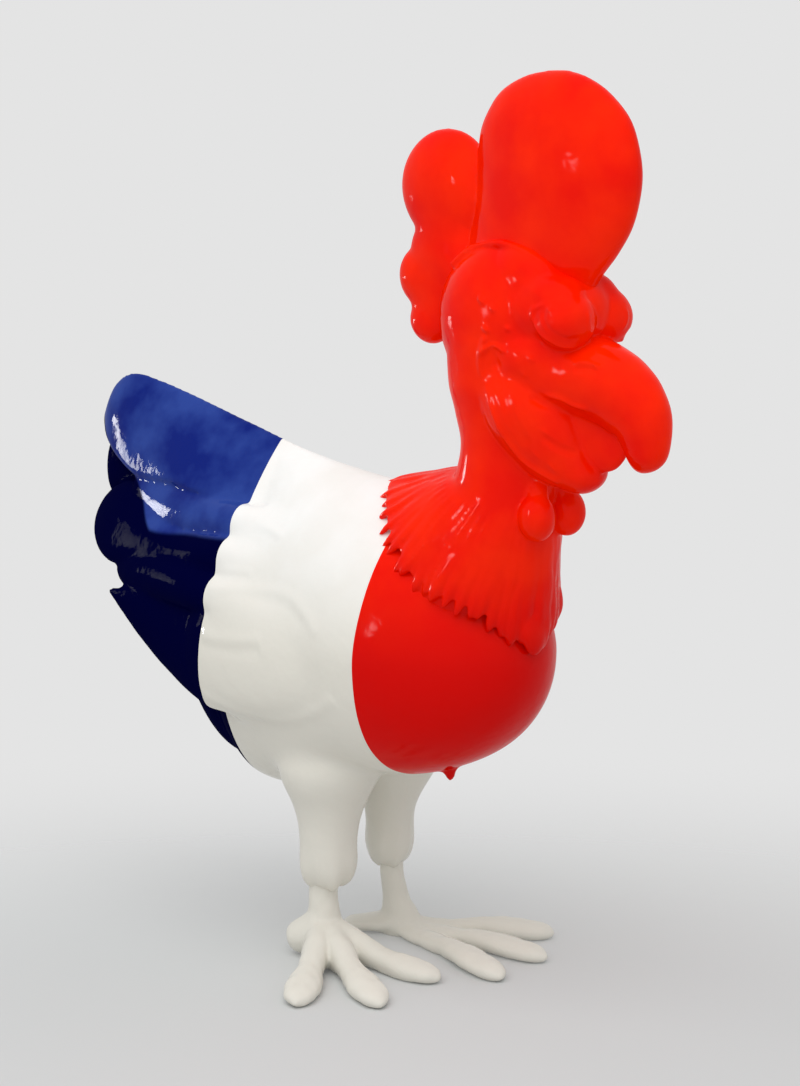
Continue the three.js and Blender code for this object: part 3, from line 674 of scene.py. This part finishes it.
def cape_place(share, side, way):
    """Places on the hackle and the rays out of them. share runs along the hem from nape (0) to breast (1),
    side is +1 on the right and -1 on the left, way runs from the neck (0) to the hem (1). A straight line
    from neck to hem, a little bowed, where that lies outside neck and trunk, and just over their skin
    elsewhere."""
    flip = np.stack([side, np.ones_like(side), np.ones_like(side)], axis=-1)
    hem = spline(HEM, share) * flip
    top_z = NAPE_Z - NAPE_FALL * share
    turn = np.arctan2(-hem[..., 0], hem[..., 1] - AXIS_Y)
    radius = NECK["r"](top_z)
    top = np.stack([-radius * np.sin(turn), NECK["y"](top_z) + radius * np.cos(turn), top_z], axis=-1)
    way = way[..., None]
    spine = SPINE_TOP * (1 - way) + SPINE_END * way
    line = top * (1 - way) + hem * way
    skin, out = on_skin(spine, line)
    low = np.linalg.norm(skin - spine, axis=-1, keepdims=True)
    high = np.linalg.norm(line - spine, axis=-1, keepdims=True) + 8 * way * (1 - way)
    blend = smooth((high - low + 9) / 18) * smooth((1.06 - way) / 0.08)
    return spine + out * (low * (1 - blend) + high * blend), out


def cape(around=120):
    """The hackle's own skin: closed rings from the neck nearly to the hem, 2 mm proud of the breast."""
    share = np.concatenate([np.linspace(0, 1, around // 2), np.linspace(1, 0, around // 2)[1:-1]])
    side = np.where(np.arange(share.size) < around // 2, 1.0, -1.0)
    way = np.linspace(0, 1, 40)[:, None] * (0.94 - 0.1 * smooth(share / 0.4))
    place, out = cape_place(share + 0 * way, side + 0 * way, way)
    return loft(place + out * (2 * way[..., None] ** 3))


def locks(count, start, end, width, height, seed):
    """One row of pointed locks lying on the cape, from a share start to a share end of the way from the neck
    to the hem. Their section is an oval, widest at two thirds and thickest near the point."""
    random = np.random.default_rng(seed)
    u = (np.arange(count) + 0.5 + random.uniform(-0.22, 0.22, count)) / count
    right = u < 0.5
    share = np.where(right, 2 * u, 2 - 2 * u)[:, None]
    side = np.where(right, 1.0, -1.0)[:, None]
    first = start + random.uniform(-0.05, 0.05, count)
    last = end * (1 + random.uniform(-0.05, 0.02, count)) - 0.07 * smooth((share[:, 0] - 0.84) / 0.12)
    t = np.linspace(0, 1, 16)
    way = first[:, None] + (last - first)[:, None] * t
    skin, out = cape_place(share + 0 * way, side + 0 * way, way)
    ahead = unit(np.gradient(skin, axis=1))
    across = unit(np.cross(ahead, out))
    out = np.cross(across, ahead)
    size = (1 + random.uniform(-0.2, 0.25, count))[:, None] * (0.7 + 0.6 * share)
    bulge = np.sqrt(t) * (1 - t**4) * 1.25
    wide = (width * size * bulge + 0.3)[..., None, None]
    tall = (height * size * (0.25 + 0.75 * t) * np.sqrt(np.maximum(1 - t**5, 0)) + 0.3)[..., None, None]
    angle = full_turn(10)[:, None]
    curl = (random.uniform(-1, 1, count)[:, None] * width * 0.5 * t**2)[..., None]
    centre = (skin + across * curl)[:, :, None]
    rings = centre + across[:, :, None] * wide * np.cos(angle) + out[:, :, None] * tall * np.sin(angle)
    return merged([loft(ring) for ring in rings])


def bills():
    """The hooked upper bill, the lower bill, and the filler between them behind the gape."""
    upper = limb(
        [[0, -262, 752], [0, -330, 756], [0, -388, 743], [0, -424, 716], [0, -434, 684], [0, -427, 652]],
        [48, 48, 46, 42, 32, 20],
        [62, 56, 46, 35, 25, 16],
        around=48,
        blunt=0.13,
    )
    lower = limb(
        [[0, -234, 758], [0, -262, 736], [0, -290, 704], [0, -322, 667], [0, -347, 645], [0, -371, 633]],
        [36, 52, 60, 52, 32, 13],
        [60, 72, 72, 58, 40, 18],
        around=48,
        blunt=0.08,
    )
    gape = limb(
        [[0, -262, 740], [0, -310, 712], [0, -346, 690], [0, -376, 676], [0, -408, 671]],
        [40, 38, 38, 34, 12],
        [64, 50, 30, 14, 5],
        around=48,
        blunt=0.1,
    )
    return [upper, lower, gape]


COMB_FOOT, COMB_HEIGHT = 840, 250
COMB = table(
    ["front", "back", "half"],
    [
        [840, -352, -170, 30],
        [864, -366, -172, 32],
        [890, -388, -178, 35],
        [919, -407, -185, 38],
        [950, -416, -190, 40],
        [985, -419, -192, 40],
        [1021, -411, -194, 37],
        [1045, -397, -206, 33],
        [1068, -372, -227, 25],
        [1084, -342, -260, 14],
        [1090, -318, -290, 5],
    ],
)


def comb(around=64):
    """Front lobe of level ovals, and behind it four balls with a slab between them."""
    z = (COMB_FOOT + COMB_HEIGHT * np.sin(np.linspace(0, np.pi / 2, 80)))[:, None]
    turn = full_turn(around)
    x = COMB["half"](z) * np.cos(turn)
    front, back = COMB["front"](z), COMB["back"](z)
    lobe = loft(grid(x, (front + back) / 2 + (back - front) / 2 * np.sin(turn), z))
    rear = [[-142, 955, 67, 32], [-140, 878, 52, 27], [-110, 850, 39, 26], [-118, 801, 30, 23]]
    slab = limb([[0, -150, 960], [0, -138, 880], [0, -126, 810]], [44, 44, 22], [29, 26, 22], around=40)
    return [lobe, slab, *(ball([0, y, z], [half, r, r]) for y, z, r, half in rear)]


def head():
    """Skull, forehead, cheek, eyes, brows, bills, wattles with their roots, the saddle and bead under the
    comb, and the neck and its hackle, with two locks before the breast and four rows of locks."""
    skull = ball([0, -238, 810], [74, 88, 96], 72)
    forehead = ball([0, -304, 826], [62, 68, 50])
    saddle = ball([0, -272, 856], [56, 66, 54])
    cheek = ball([0, -288, 772], [66, 66, 48])
    eye = ball([-33, -345, 818], [34, 34, 34])
    brow = ball([-28, -320, 842], [31, 45, 27])
    wattle = ball([-27, -302, 589], [22, 22, 28])
    root = ball([-22, -298, 612], [13, 14, 22])
    seam = [
        [-45, -186, 870],
        [-39, -206, 887],
        [-37, -221, 894],
        [-38, -249, 898],
        [-38, -273, 896],
        [-38, -294, 889],
        [-36, -317, 877],
        [-35, -344, 864],
    ]
    bead = tube(seam, [3.4, 4.8, 3.4, 4.6, 3.4, 4.4, 3.0, 0.8])
    # From the hem up: count, start, end, width, height and seed
    rows = [
        locks(44, 0.5, 1.02, 9.0, 6.5, 3),
        locks(46, 0.38, 0.9, 8.5, 4.2, 11),
        locks(46, 0.26, 0.76, 8.0, 2.8, 5),
        locks(44, 0.1, 0.56, 7.5, 1.8, 8),
    ]
    front_locks = [
        limb(
            [[-4, -262, 530], [-6, -272, 490], [-8, -283, 455], [-10, -286, 422]],
            [6, 9, 10, 9],
            [10, 18, 22, 18],
            blunt=0.3,
        ),
        limb(
            [[30, -254, 540], [38, -264, 504], [43, -268, 472], [43, -268, 446]],
            [5, 8, 9, 7],
            [10, 16, 18, 13],
            blunt=0.3,
        ),
    ]
    middle = [skull, forehead, saddle, cheek, neck(), cape(), *front_locks, *bills()]
    return [*middle, *both([eye, brow, wattle, root, bead]), *rows]


# Paint

def linear(colour):
    """An sRGB hex colour as linear red, green, blue and alpha."""
    value = np.array([int(colour[i : i + 2], 16) / 255 for i in (0, 2, 4)])
    value = np.where(value <= 0.04045, value / 12.92, ((value + 0.055) / 1.055) ** 2.4)
    return (*value, 1.0)


def new_material(name):
    """A material with its node tree and its shader."""
    material = bpy.data.materials.new(name)
    material.use_nodes = True
    return material, material.node_tree, material.node_tree.nodes["Principled BSDF"]


def node(tree, kind, settings=(), links=()):
    """Adds a node. settings are (name or socket, value) pairs, and links are (socket, source) pairs."""
    added = tree.nodes.new(kind)
    for name, value in settings:
        if isinstance(name, str) and hasattr(added, name):
            setattr(added, name, value)
        else:
            added.inputs[name].default_value = value
    for name, source in links:
        tree.links.new(added.inputs[name], source)
    return added


# Sockets of a colour mix: the factor, the two colours and the result
FACTOR, FIRST, SECOND, RESULT = 0, 6, 7, 2
# Gelcoat patterns to the metre: clouds of 71 mm, rubbed hollows of 22 mm and orange peel of 4 mm, with the
# depth of the last two in metres
CLOUDS, HOLLOWS, PEEL = 14.0, 45.0, 250.0
HOLLOW_DEPTH, PEEL_DEPTH = 0.0008, 0.00004


def gelcoat(name, colour, shade, low, coat, low_coat):
    """Pigmented polyester gelcoat, sprayed, rubbed down by hand and sealed with a clear coat. To the eye:
    one deep colour, cloudy over a hand's breadth where the coat varies in thickness, with sharp reflections
    that waver where it was rubbed down and are broken up by orange peel. The peel of 2 mm is drawn at 4 mm,
    so that it shows. Where the attribute "low" says, colour turns to low, which is painted shade, and the
    clear coat to low_coat."""
    material, tree, shader = new_material(name)
    shader.inputs["Roughness"].default_value = 0.4
    shader.inputs["Specular IOR Level"].default_value = 0.0
    shader.inputs["Coat Roughness"].default_value = 0.07
    shader.inputs["Coat IOR"].default_value = 1.25
    place = node(tree, "ShaderNodeTexCoord").outputs["Object"]
    cloud = node(tree, "ShaderNodeTexNoise", [("Scale", CLOUDS), ("Detail", 4.0)], [("Vector", place)])
    edges = [("From Min", 0.36), ("From Max", 0.64)]
    patch = node(tree, "ShaderNodeMapRange", edges, [("Value", cloud.outputs["Fac"])])
    shades = [("data_type", "RGBA"), (FIRST, linear(colour)), (SECOND, linear(shade))]
    mix = node(tree, "ShaderNodeMix", shades, [(FACTOR, patch.outputs[0])])
    # Painted shade: where the attribute "low" rises, the colour turns to the darker low colour
    down = node(tree, "ShaderNodeAttribute", [("attribute_name", "low")]).outputs["Fac"]
    painted_shade_links = [(FACTOR, down), (FIRST, mix.outputs[RESULT])]
    fall = node(tree, "ShaderNodeMix", [("data_type", "RGBA"), (SECOND, linear(low))], painted_shade_links)
    clear = node(tree, "ShaderNodeMapRange", [("To Min", coat), ("To Max", low_coat)], [("Value", down)])
    tree.links.new(shader.inputs["Coat Weight"], clear.outputs[0])
    tree.links.new(shader.inputs["Base Color"], fall.outputs[RESULT])
    rubbed = node(tree, "ShaderNodeTexNoise", [("Scale", HOLLOWS), ("Detail", 2.0)], [("Vector", place)])
    peel = node(tree, "ShaderNodeTexNoise", [("Scale", PEEL), ("Detail", 1.0)], [("Vector", place)])
    waves = node(tree, "ShaderNodeBump", [("Distance", HOLLOW_DEPTH)], [("Height", rubbed.outputs["Fac"])])
    relief = [("Height", peel.outputs["Fac"]), ("Normal", waves.outputs[0])]
    glaze = node(tree, "ShaderNodeBump", [("Distance", PEEL_DEPTH)], relief)
    tree.links.new(shader.inputs["Normal"], waves.outputs[0])
    tree.links.new(shader.inputs["Coat Normal"], glaze.outputs[0])
    return material


def metal(name, colour, shade, roughness, grain, stretch):
    """Bare or plated steel: light and dark marks, grain of them to the metre, drawn out along z by the
    stretch, as a rod's drawing marks are."""
    material, tree, shader = new_material(name)
    shader.inputs["Metallic"].default_value = 1.0
    place = node(tree, "ShaderNodeTexCoord").outputs["Object"]
    drawn = node(tree, "ShaderNodeMapping", [("Scale", (1.0, 1.0, 1 / stretch))], [("Vector", place)])
    grains = [("Scale", grain), ("Detail", 4.0)]
    marks = node(tree, "ShaderNodeTexNoise", grains, [("Vector", drawn.outputs[0])])
    shades = [("data_type", "RGBA"), (FIRST, linear(colour)), (SECOND, linear(shade))]
    mix = node(tree, "ShaderNodeMix", shades, [(FACTOR, marks.outputs["Fac"])])
    tree.links.new(shader.inputs["Base Color"], mix.outputs[RESULT])
    limits = [("To Min", roughness - 0.08), ("To Max", roughness + 0.12)]
    rough = node(tree, "ShaderNodeMapRange", limits, [("Value", marks.outputs["Fac"])])
    tree.links.new(shader.inputs["Roughness"], rough.outputs[0])
    dents = node(tree, "ShaderNodeBump", [("Distance", 0.00005)], [("Height", marks.outputs["Fac"])])
    tree.links.new(shader.inputs["Normal"], dents.outputs[0])
    return material


# The third colour of each gelcoat is painted shade: towards the bottom on red and white, under the hood's rim
# on blue
RED = gelcoat("red_gelcoat", "ff2400", "f41200", "d80400", 0.5, 0.5)
WHITE = gelcoat("white_gelcoat", "f8f8f6", "f3f2ee", "e4e1d7", 0.6, 0.6)
BLUE = gelcoat("blue_gelcoat", "2c4596", "0d2178", "01022e", 0.36, 0.012)

# Cold-drawn mild steel of the armature: grey, with fine marks of 1 mm drawn out lengthways
DRAWN_STEEL = metal("cold_drawn_steel", "8f9195", "77797d", 0.38, 1000.0, 12.0)
# Zinc plating on the nuts: paler and brighter, with a mottle of 3 mm
ZINC = metal("zinc_plating", "bcc2c6", "a3a9ae", 0.3, 330.0, 1.0)
ARMATURE = ["leg_rod_right", "leg_rod_left", "sole_disc_right", "sole_disc_left"]
ARMATURE += ["hip_plate", "neck_post", "comb_spine"]
NUTS = ["hip_nut_right", "hip_nut_left", "hip_locknut_right", "hip_locknut_left"]
for names, finish in ((ARMATURE, DRAWN_STEEL), (NUTS, ZINC)):
    for name in names:
        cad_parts[name].material_slots[0].material = finish

# Body casting: softest where the thighs, wings and hood grow out of the trunk
FLANK_MARKS = [
    ([[-136, 134, 462], [-129, 65, 470], [-130, -2, 470], [-140, -46, 450], [-144, -66, 432]], 8, 1.2),
    ([[-134, 134, 449], [-129, 65, 456], [-130, -2, 457], [-138, -40, 440]], 9, -1.0),
    ([[-147, 134, 404], [-151, 95, 405], [-154, 59, 409], [-153, 20, 416]], 8, 1.2),
    ([[-147, 134, 392], [-151, 95, 393], [-154, 59, 397], [-153, 20, 404]], 9, -1.0),
    ([[-147, 134, 330], [-143, 68, 317], [-134, 8, 318], [-137, -40, 330], [-141, -92, 362]], 8, 1.4),
    ([[-67, 150, 526], [-72, 115, 534], [-84, 76, 536], [-92, 40, 530]], 6, 1.4),
    ([[-118, 140, 478], [-115, 104, 484], [-110, 70, 484]], 6, 1.4),
]
TAIL_MARKS = [
    ([[-98, 140, 516], [-90, 190, 511], [-80, 240, 508], [-66, 296, 506]], 4, 1.8),
    ([[-118, 140, 478], [-110, 200, 478], [-98, 260, 477], [-86, 310, 474]], 4, 1.4),
    ([[-122, 140, 432], [-114, 200, 436], [-106, 262, 442]], 4, 1.4),
]
BREAST_MARKS = [
    ([[-137, -160, 478], [-139, -166, 455]], 4, 1.8),
    ([[-139, -150, 440], [-141, -160, 412]], 5, 2.0),
    ([[-128, -190, 425], [-130, -196, 402]], 4, 1.8),
    ([[-136, -172, 396], [-132, -184, 372]], 5, 1.8),
    ([[-116, -216, 408], [-113, -224, 384]], 4, 1.6),
    ([[-98, -238, 380], [-94, -242, 358]], 4, 1.5),
    ([[-68, -262, 396], [-66, -266, 372]], 4, 1.5),
]
THIGHS = [thigh((0, 0), slim=1.0, phase=0.7), mirrored(thigh((4, 4), slim=0.86, phase=2.4))]
# A drip of resin left under the breast
drip = limb([[-8, -150, 285], [-8, -154, 262], [-8, -156, 243]], [10, 9, 3], [11, 10, 3], blunt=0.2)
body = Clay([trunk(), hood(), *both(wing_feathers()), *THIGHS, drip], voxel=3.0)
body.soften(3)
body.soften(
    70,
    sides(85, (55, 0, 275), (55, -60, 275), (55, 60, 255), (55, 0, 235))
    + sides(60, *((120, -90, z) for z in (380, 430, 470)))
    + sides(62, *((x, y, z) for x, z in ((118, 460), (100, 515), (60, 560)) for y in (-20, 40))),
)
body.soften(
    16,
    sides(30, (112, 120, 483), (120, 120, 430), (84, 110, 520))
    + sides(24, (88, 300, 470), (110, 280, 436), (104, 220, 474)),
)
flanks = sides(96, *((120, y, z) for y in (10, 80) for z in (340, 400, 460, 520)))
body.soften(160, flanks, before=BLUE_JOINT)
body.strokes(FLANK_MARKS + TAIL_MARKS + BREAST_MARKS)
body.wobble(height=0.35, length=110)
skin = body.skin()
front = clipped(skin, (0, -1, 0), -BLUE_JOINT)
tail = clipped(skin, (0, 1, 0), BLUE_JOINT)
# Painted shade: the tail's blue turns nearly black below the hood's and covert's rim
casting("tail_casting", tail, BLUE, ["tail_section"], top=PAINTED_SHADE_RIM(tail[0][:, 1]) + 2, span=6.0)
casting(
    "torso_casting",
    clipped(front, (0, 1, 0), RED_JOINT),
    WHITE,
    ["torso_section", "wing_right", "wing_left", "thigh_right", "thigh_left"],
)
casting("breast_casting", clipped(front, (0, -1, 0), -RED_JOINT), RED, ["breast_section"])

# Head casting: rims and creases of the right-hand side of the face
JOWL_RIM = [
    [-71, -262, 799],
    [-71, -254, 777],
    [-73, -254, 756],
    [-76, -261, 743],
    [-76, -270, 722],
    [-73, -279, 702],
    [-65, -287, 686],
    [-58, -297, 668],
    [-52, -306, 657],
    [-42, -327, 644],
    [-31, -341, 635],
]
INNER_RIM = [
    [-67, -270, 772],
    [-66, -280, 750],
    [-68, -286, 733],
    [-68, -295, 714],
    [-64, -305, 694],
    [-57, -316, 677],
]
LID = [
    [-60, -326, 836],
    [-59, -319, 827],
    [-60, -324, 814],
    [-61, -335, 805],
    [-60, -346, 799],
    [-54, -354, 793],
    [-36, -369, 792],
]
LID_FOLD = [
    [-62, -338, 834],
    [-64, -340, 822],
    [-64, -347, 812],
    [-58, -358, 804],
    [-50, -367, 800],
    [-42, -374, 802],
]
FACE_MARKS = [
    (JOWL_RIM, 3.6, 3.6),
    (INNER_RIM, 6.0, -1.8),
    ([[-71, -252, 773], [-70, -261, 783], [-69, -269, 787], [-64, -276, 785], [-64, -287, 778]], 2.6, 3.8),
    ([[-67, -269, 781], [-66, -271, 771], [-65, -272, 758]], 3.0, -2.2),
    ([[-71, -263, 801], [-71, -258, 788]], 2.2, 1.9),
    ([[-69, -248, 844], [-70, -258, 830]], 2.6, 4.3),
    ([[-68, -264, 834], [-67, -272, 822]], 2.6, 4.3),
    ([[-64, -281, 810], [-60, -290, 803]], 2.6, 4.3),
    ([[-72, -255, 810], [-70, -267, 800]], 2.6, 4.1),
    ([[-61, -312, 779], [-56, -323, 770]], 2.6, 2.0),
    ([[-61, -305, 763], [-57, -312, 751]], 2.6, 1.8),
    ([[-52, -326, 730], [-48, -338, 734], [-44, -352, 732], [-39, -362, 727], [-37, -384, 722]], 3.4, 3.0),
    ([[-58, -312, 734], [-50, -330, 724], [-43, -346, 720], [-36, -364, 712], [-30, -384, 706]], 4.6, -3.5),
    ([[-56, -325, 700], [-46, -338, 687]], 2.6, 2.2),
    ([[-56, -316, 674], [-49, -328, 661]], 2.6, 2.0),
    ([[-48, -332, 662], [-39, -342, 646]], 2.6, 2.0),
    ([[-54, -328, 690], [-42, -346, 676], [-26, -362, 668]], 4.0, -2.4),
    (LID, 3.2, 2.6),
    (LID_FOLD, 3.6, -2.2),
    ([[-59, -322, 830], [-62, -337, 839], [-60, -344, 841]], 2.4, 2.4),
    ([[-62, -341, 838], [-65, -351, 826]], 2.4, 2.2),
    ([[-33, -376, 832], [-34, -379, 817], [-28, -376, 802]], 2.8, 1.9),
    ([[-54, -343, 862], [-58, -347, 853]], 3.0, 2.2),
    ([[-46, -362, 772], [-39, -378, 776], [-36, -390, 772], [-33, -400, 769]], 2.8, 2.4),
    ([[-46, -366, 766], [-40, -382, 768], [-35, -396, 763]], 3.0, -2.2),
]
bust = Clay(head(), voxel=2.0)
bust.soften(2)
bust.soften(
    60,
    [([0, -165, 775], 60), ([0, -195, 740], 60), ([0, -345, 850], 34)]
    + sides(46, (62, -290, 790))
    + sides(40, (66, -220, 770))
    + sides(34, (55, -330, 768))
    + sides(42, (48, -305, 856))
    + sides(36, (50, -352, 846), (62, -322, 848), (44, -330, 868))
    + sides(30, (60, -290, 745), (73, -256, 748))
    + sides(18, (57, -207, 619)),
)
bust.strokes(FACE_MARKS)
bust.soften(1)
bust.wobble(height=0.5, length=70)
skin = bust.skin()
# The head joins the hackle on a plane that slopes down to the front and is THROAT_Z high at y = 0
THROAT_Z = 715
THROAT = unit(np.array([0, -0.29, 1.0]))
casting(
    "head_casting",
    clipped(skin, THROAT, THROAT_Z * THROAT[2]),
    RED,
    ["head", "upper_beak", "lower_beak", "eye_right", "eye_left"],
)
casting(
    "hackle_casting",
    clipped(skin, -THROAT, -THROAT_Z * THROAT[2]),
    RED,
    ["neck_hackle", "wattle_right", "wattle_left"],
)

# Comb casting
crest = Clay(comb(), voxel=2.6)
crest.soften(8)
crest.soften(60, sides(44, (24, -140, 905), (24, -125, 860), (24, -120, 825)))
crest.wobble(height=0.5, length=90)
casting("comb_casting", crest.skin(), RED, ["comb"])

# Feet: each is softened at the instep and at the spur's root, and flat on the ground
RIGHT_TIPS = [[-222, -102], [-156, -178], [-45, -172]]
RIGHT_FOOT = foot([-66, 2], RIGHT_TIPS, heel=[-86, 44], height=46, top=[-65, 4], radius=18, rise=1.25)
LEFT_TIPS = [[-8, -226], [-98, -222], [-174, -172]]
LEFT_FOOT = foot([-66, -7], LEFT_TIPS, heel=[-22, 54], height=20, top=[-58, 2], radius=15, rise=0.46)
for name, surfaces in (("foot_right", RIGHT_FOOT), ("foot_left", [mirrored(s) for s in LEFT_FOOT])):
    clay = Clay(surfaces, voxel=1.8)
    clay.soften(4)
    clay.soften(30, sides(52, (62, -20, 22)))
    clay.soften(60, [([-76, 26, 48], 40), ([48, 22, 18], 34)])
    clay.wobble(height=0.7, length=34)
    clay.points[:, 2] = np.maximum(clay.points[:, 2], 0.0)
    # Painted shade: the feet lie wholly under the span, so they take the white's darker low colour all over
    casting(f"{name}_casting", clay.skin(), WHITE, [name])


# Floor, light and camera

def ground():
    """A pale studio floor that fades into the backdrop away from the sculpture, so that no edge shows."""
    size = 12.0
    middle = (-1.0, -0.94, 0.0)
    corners = [(-size, -size, 0), (size, -size, 0), (size, size, 0), (-size, size, 0)]
    mesh = bpy.data.meshes.new("floor")
    mesh.from_pydata(corners, [], [(0, 1, 2, 3)])
    floor = placed("floor", mesh)
    material, tree, shader = new_material("studio_floor")
    shader.inputs["Base Color"].default_value = linear("d3d5d5")
    shader.inputs["Roughness"].default_value = 0.9
    shader.inputs["Specular IOR Level"].default_value = 0.0
    place = node(tree, "ShaderNodeTexCoord").outputs["Object"]
    away = node(tree, "ShaderNodeVectorMath", [("operation", "DISTANCE"), (1, middle)], [(0, place)])
    limits = [("interpolation_type", "SMOOTHSTEP"), ("From Min", 1.1), ("From Max", 2.3)]
    fade = node(tree, "ShaderNodeMapRange", limits, [("Value", away.outputs["Value"])])
    clear = node(tree, "ShaderNodeBsdfTransparent")
    shares = [(0, fade.outputs[0]), (1, shader.outputs[0]), (2, clear.outputs[0])]
    mix = node(tree, "ShaderNodeMixShader", (), shares)
    tree.links.new(tree.nodes["Material Output"].inputs["Surface"], mix.outputs[0])
    mesh.materials.append(material)


ground()


def lamp(name, place, target, size, power, spread=180.0):
    """A rectangular softbox whose light is spread degrees wide. Its object is given back, so that it can be
    hidden from one kind of ray."""
    light = bpy.data.lights.new(name, "AREA")
    light.shape = "RECTANGLE"
    light.size, light.size_y = size
    light.energy = power
    light.spread = np.radians(spread)
    holder = placed(name, light)
    holder.location = place
    holder.rotation_euler = (Vector(target) - Vector(place)).to_track_quat("-Z", "Y").to_euler()
    return holder


# One lamp lights the sculpture; two small ones only show in its reflections
lamp("overhead", (-1.7, -0.8, 3.4), (0, 0, 0.5), (4.0, 4.0), 82).visible_glossy = False
lamp("window", (-0.42, 1.4, 0.6), (-0.05, 0.32, 0.52), (0.2, 0.26), 0.2, 30.0).visible_diffuse = False
lamp("side", (-1.6, 0.24, 1.02), (-0.06, -0.24, 0.68), (0.22, 0.3), 0.1, 24.0).visible_diffuse = False


def backdrop():
    """Pale grey for the camera and for reflections; the light that falls on the object is a fifth weaker."""
    world = bpy.data.worlds.new("studio")
    bpy.context.scene.world = world
    world.use_nodes = True
    tree = world.node_tree
    seen = tree.nodes["Background"]
    seen.inputs["Color"].default_value = linear("e4e4e4")
    seen.inputs["Strength"].default_value = 1.0
    fill = node(tree, "ShaderNodeBackground", [("Color", (1.0, 1.0, 1.0, 1.0)), ("Strength", 0.61)])
    rays = node(tree, "ShaderNodeLightPath").outputs
    shown = node(tree, "ShaderNodeMath", [("operation", "MAXIMUM")], [(0, rays["Is Camera Ray"])])
    tree.links.new(shown.inputs[1], rays["Is Glossy Ray"])
    every = node(tree, "ShaderNodeMath", [("operation", "MAXIMUM")], [(0, shown.outputs[0])])
    tree.links.new(every.inputs[1], rays["Is Transmission Ray"])
    shares = [(0, every.outputs[0]), (1, fill.outputs[0]), (2, seen.outputs[0])]
    mix = node(tree, "ShaderNodeMixShader", (), shares)
    tree.links.new(tree.nodes["World Output"].inputs["Surface"], mix.outputs[0])


backdrop()

# Camera, fitted to the photograph: focal length and frame height in pixels, the sensor's height in mm
FOCAL, FRAME_HEIGHT, SENSOR = 2600, 1086, 36.0
CAMERA = np.array([-2270.42, -2154.55, 1140.0])
YAW, PITCH = np.radians(42.619), np.radians(-11.290)
lens = bpy.data.cameras.new("camera")
lens.sensor_fit = "VERTICAL"
lens.sensor_height = SENSOR
lens.lens = SENSOR * FOCAL / FRAME_HEIGHT
viewer = placed("camera", lens)
viewer.location = (CAMERA + SHIFT) / MM
ahead = Vector((np.cos(YAW) * np.cos(PITCH), np.sin(YAW) * np.cos(PITCH), np.sin(PITCH)))
viewer.rotation_euler = ahead.to_track_quat("-Z", "Y").to_euler()
bpy.context.scene.camera = viewer
bpy.context.scene.view_settings.view_transform = "Standard"
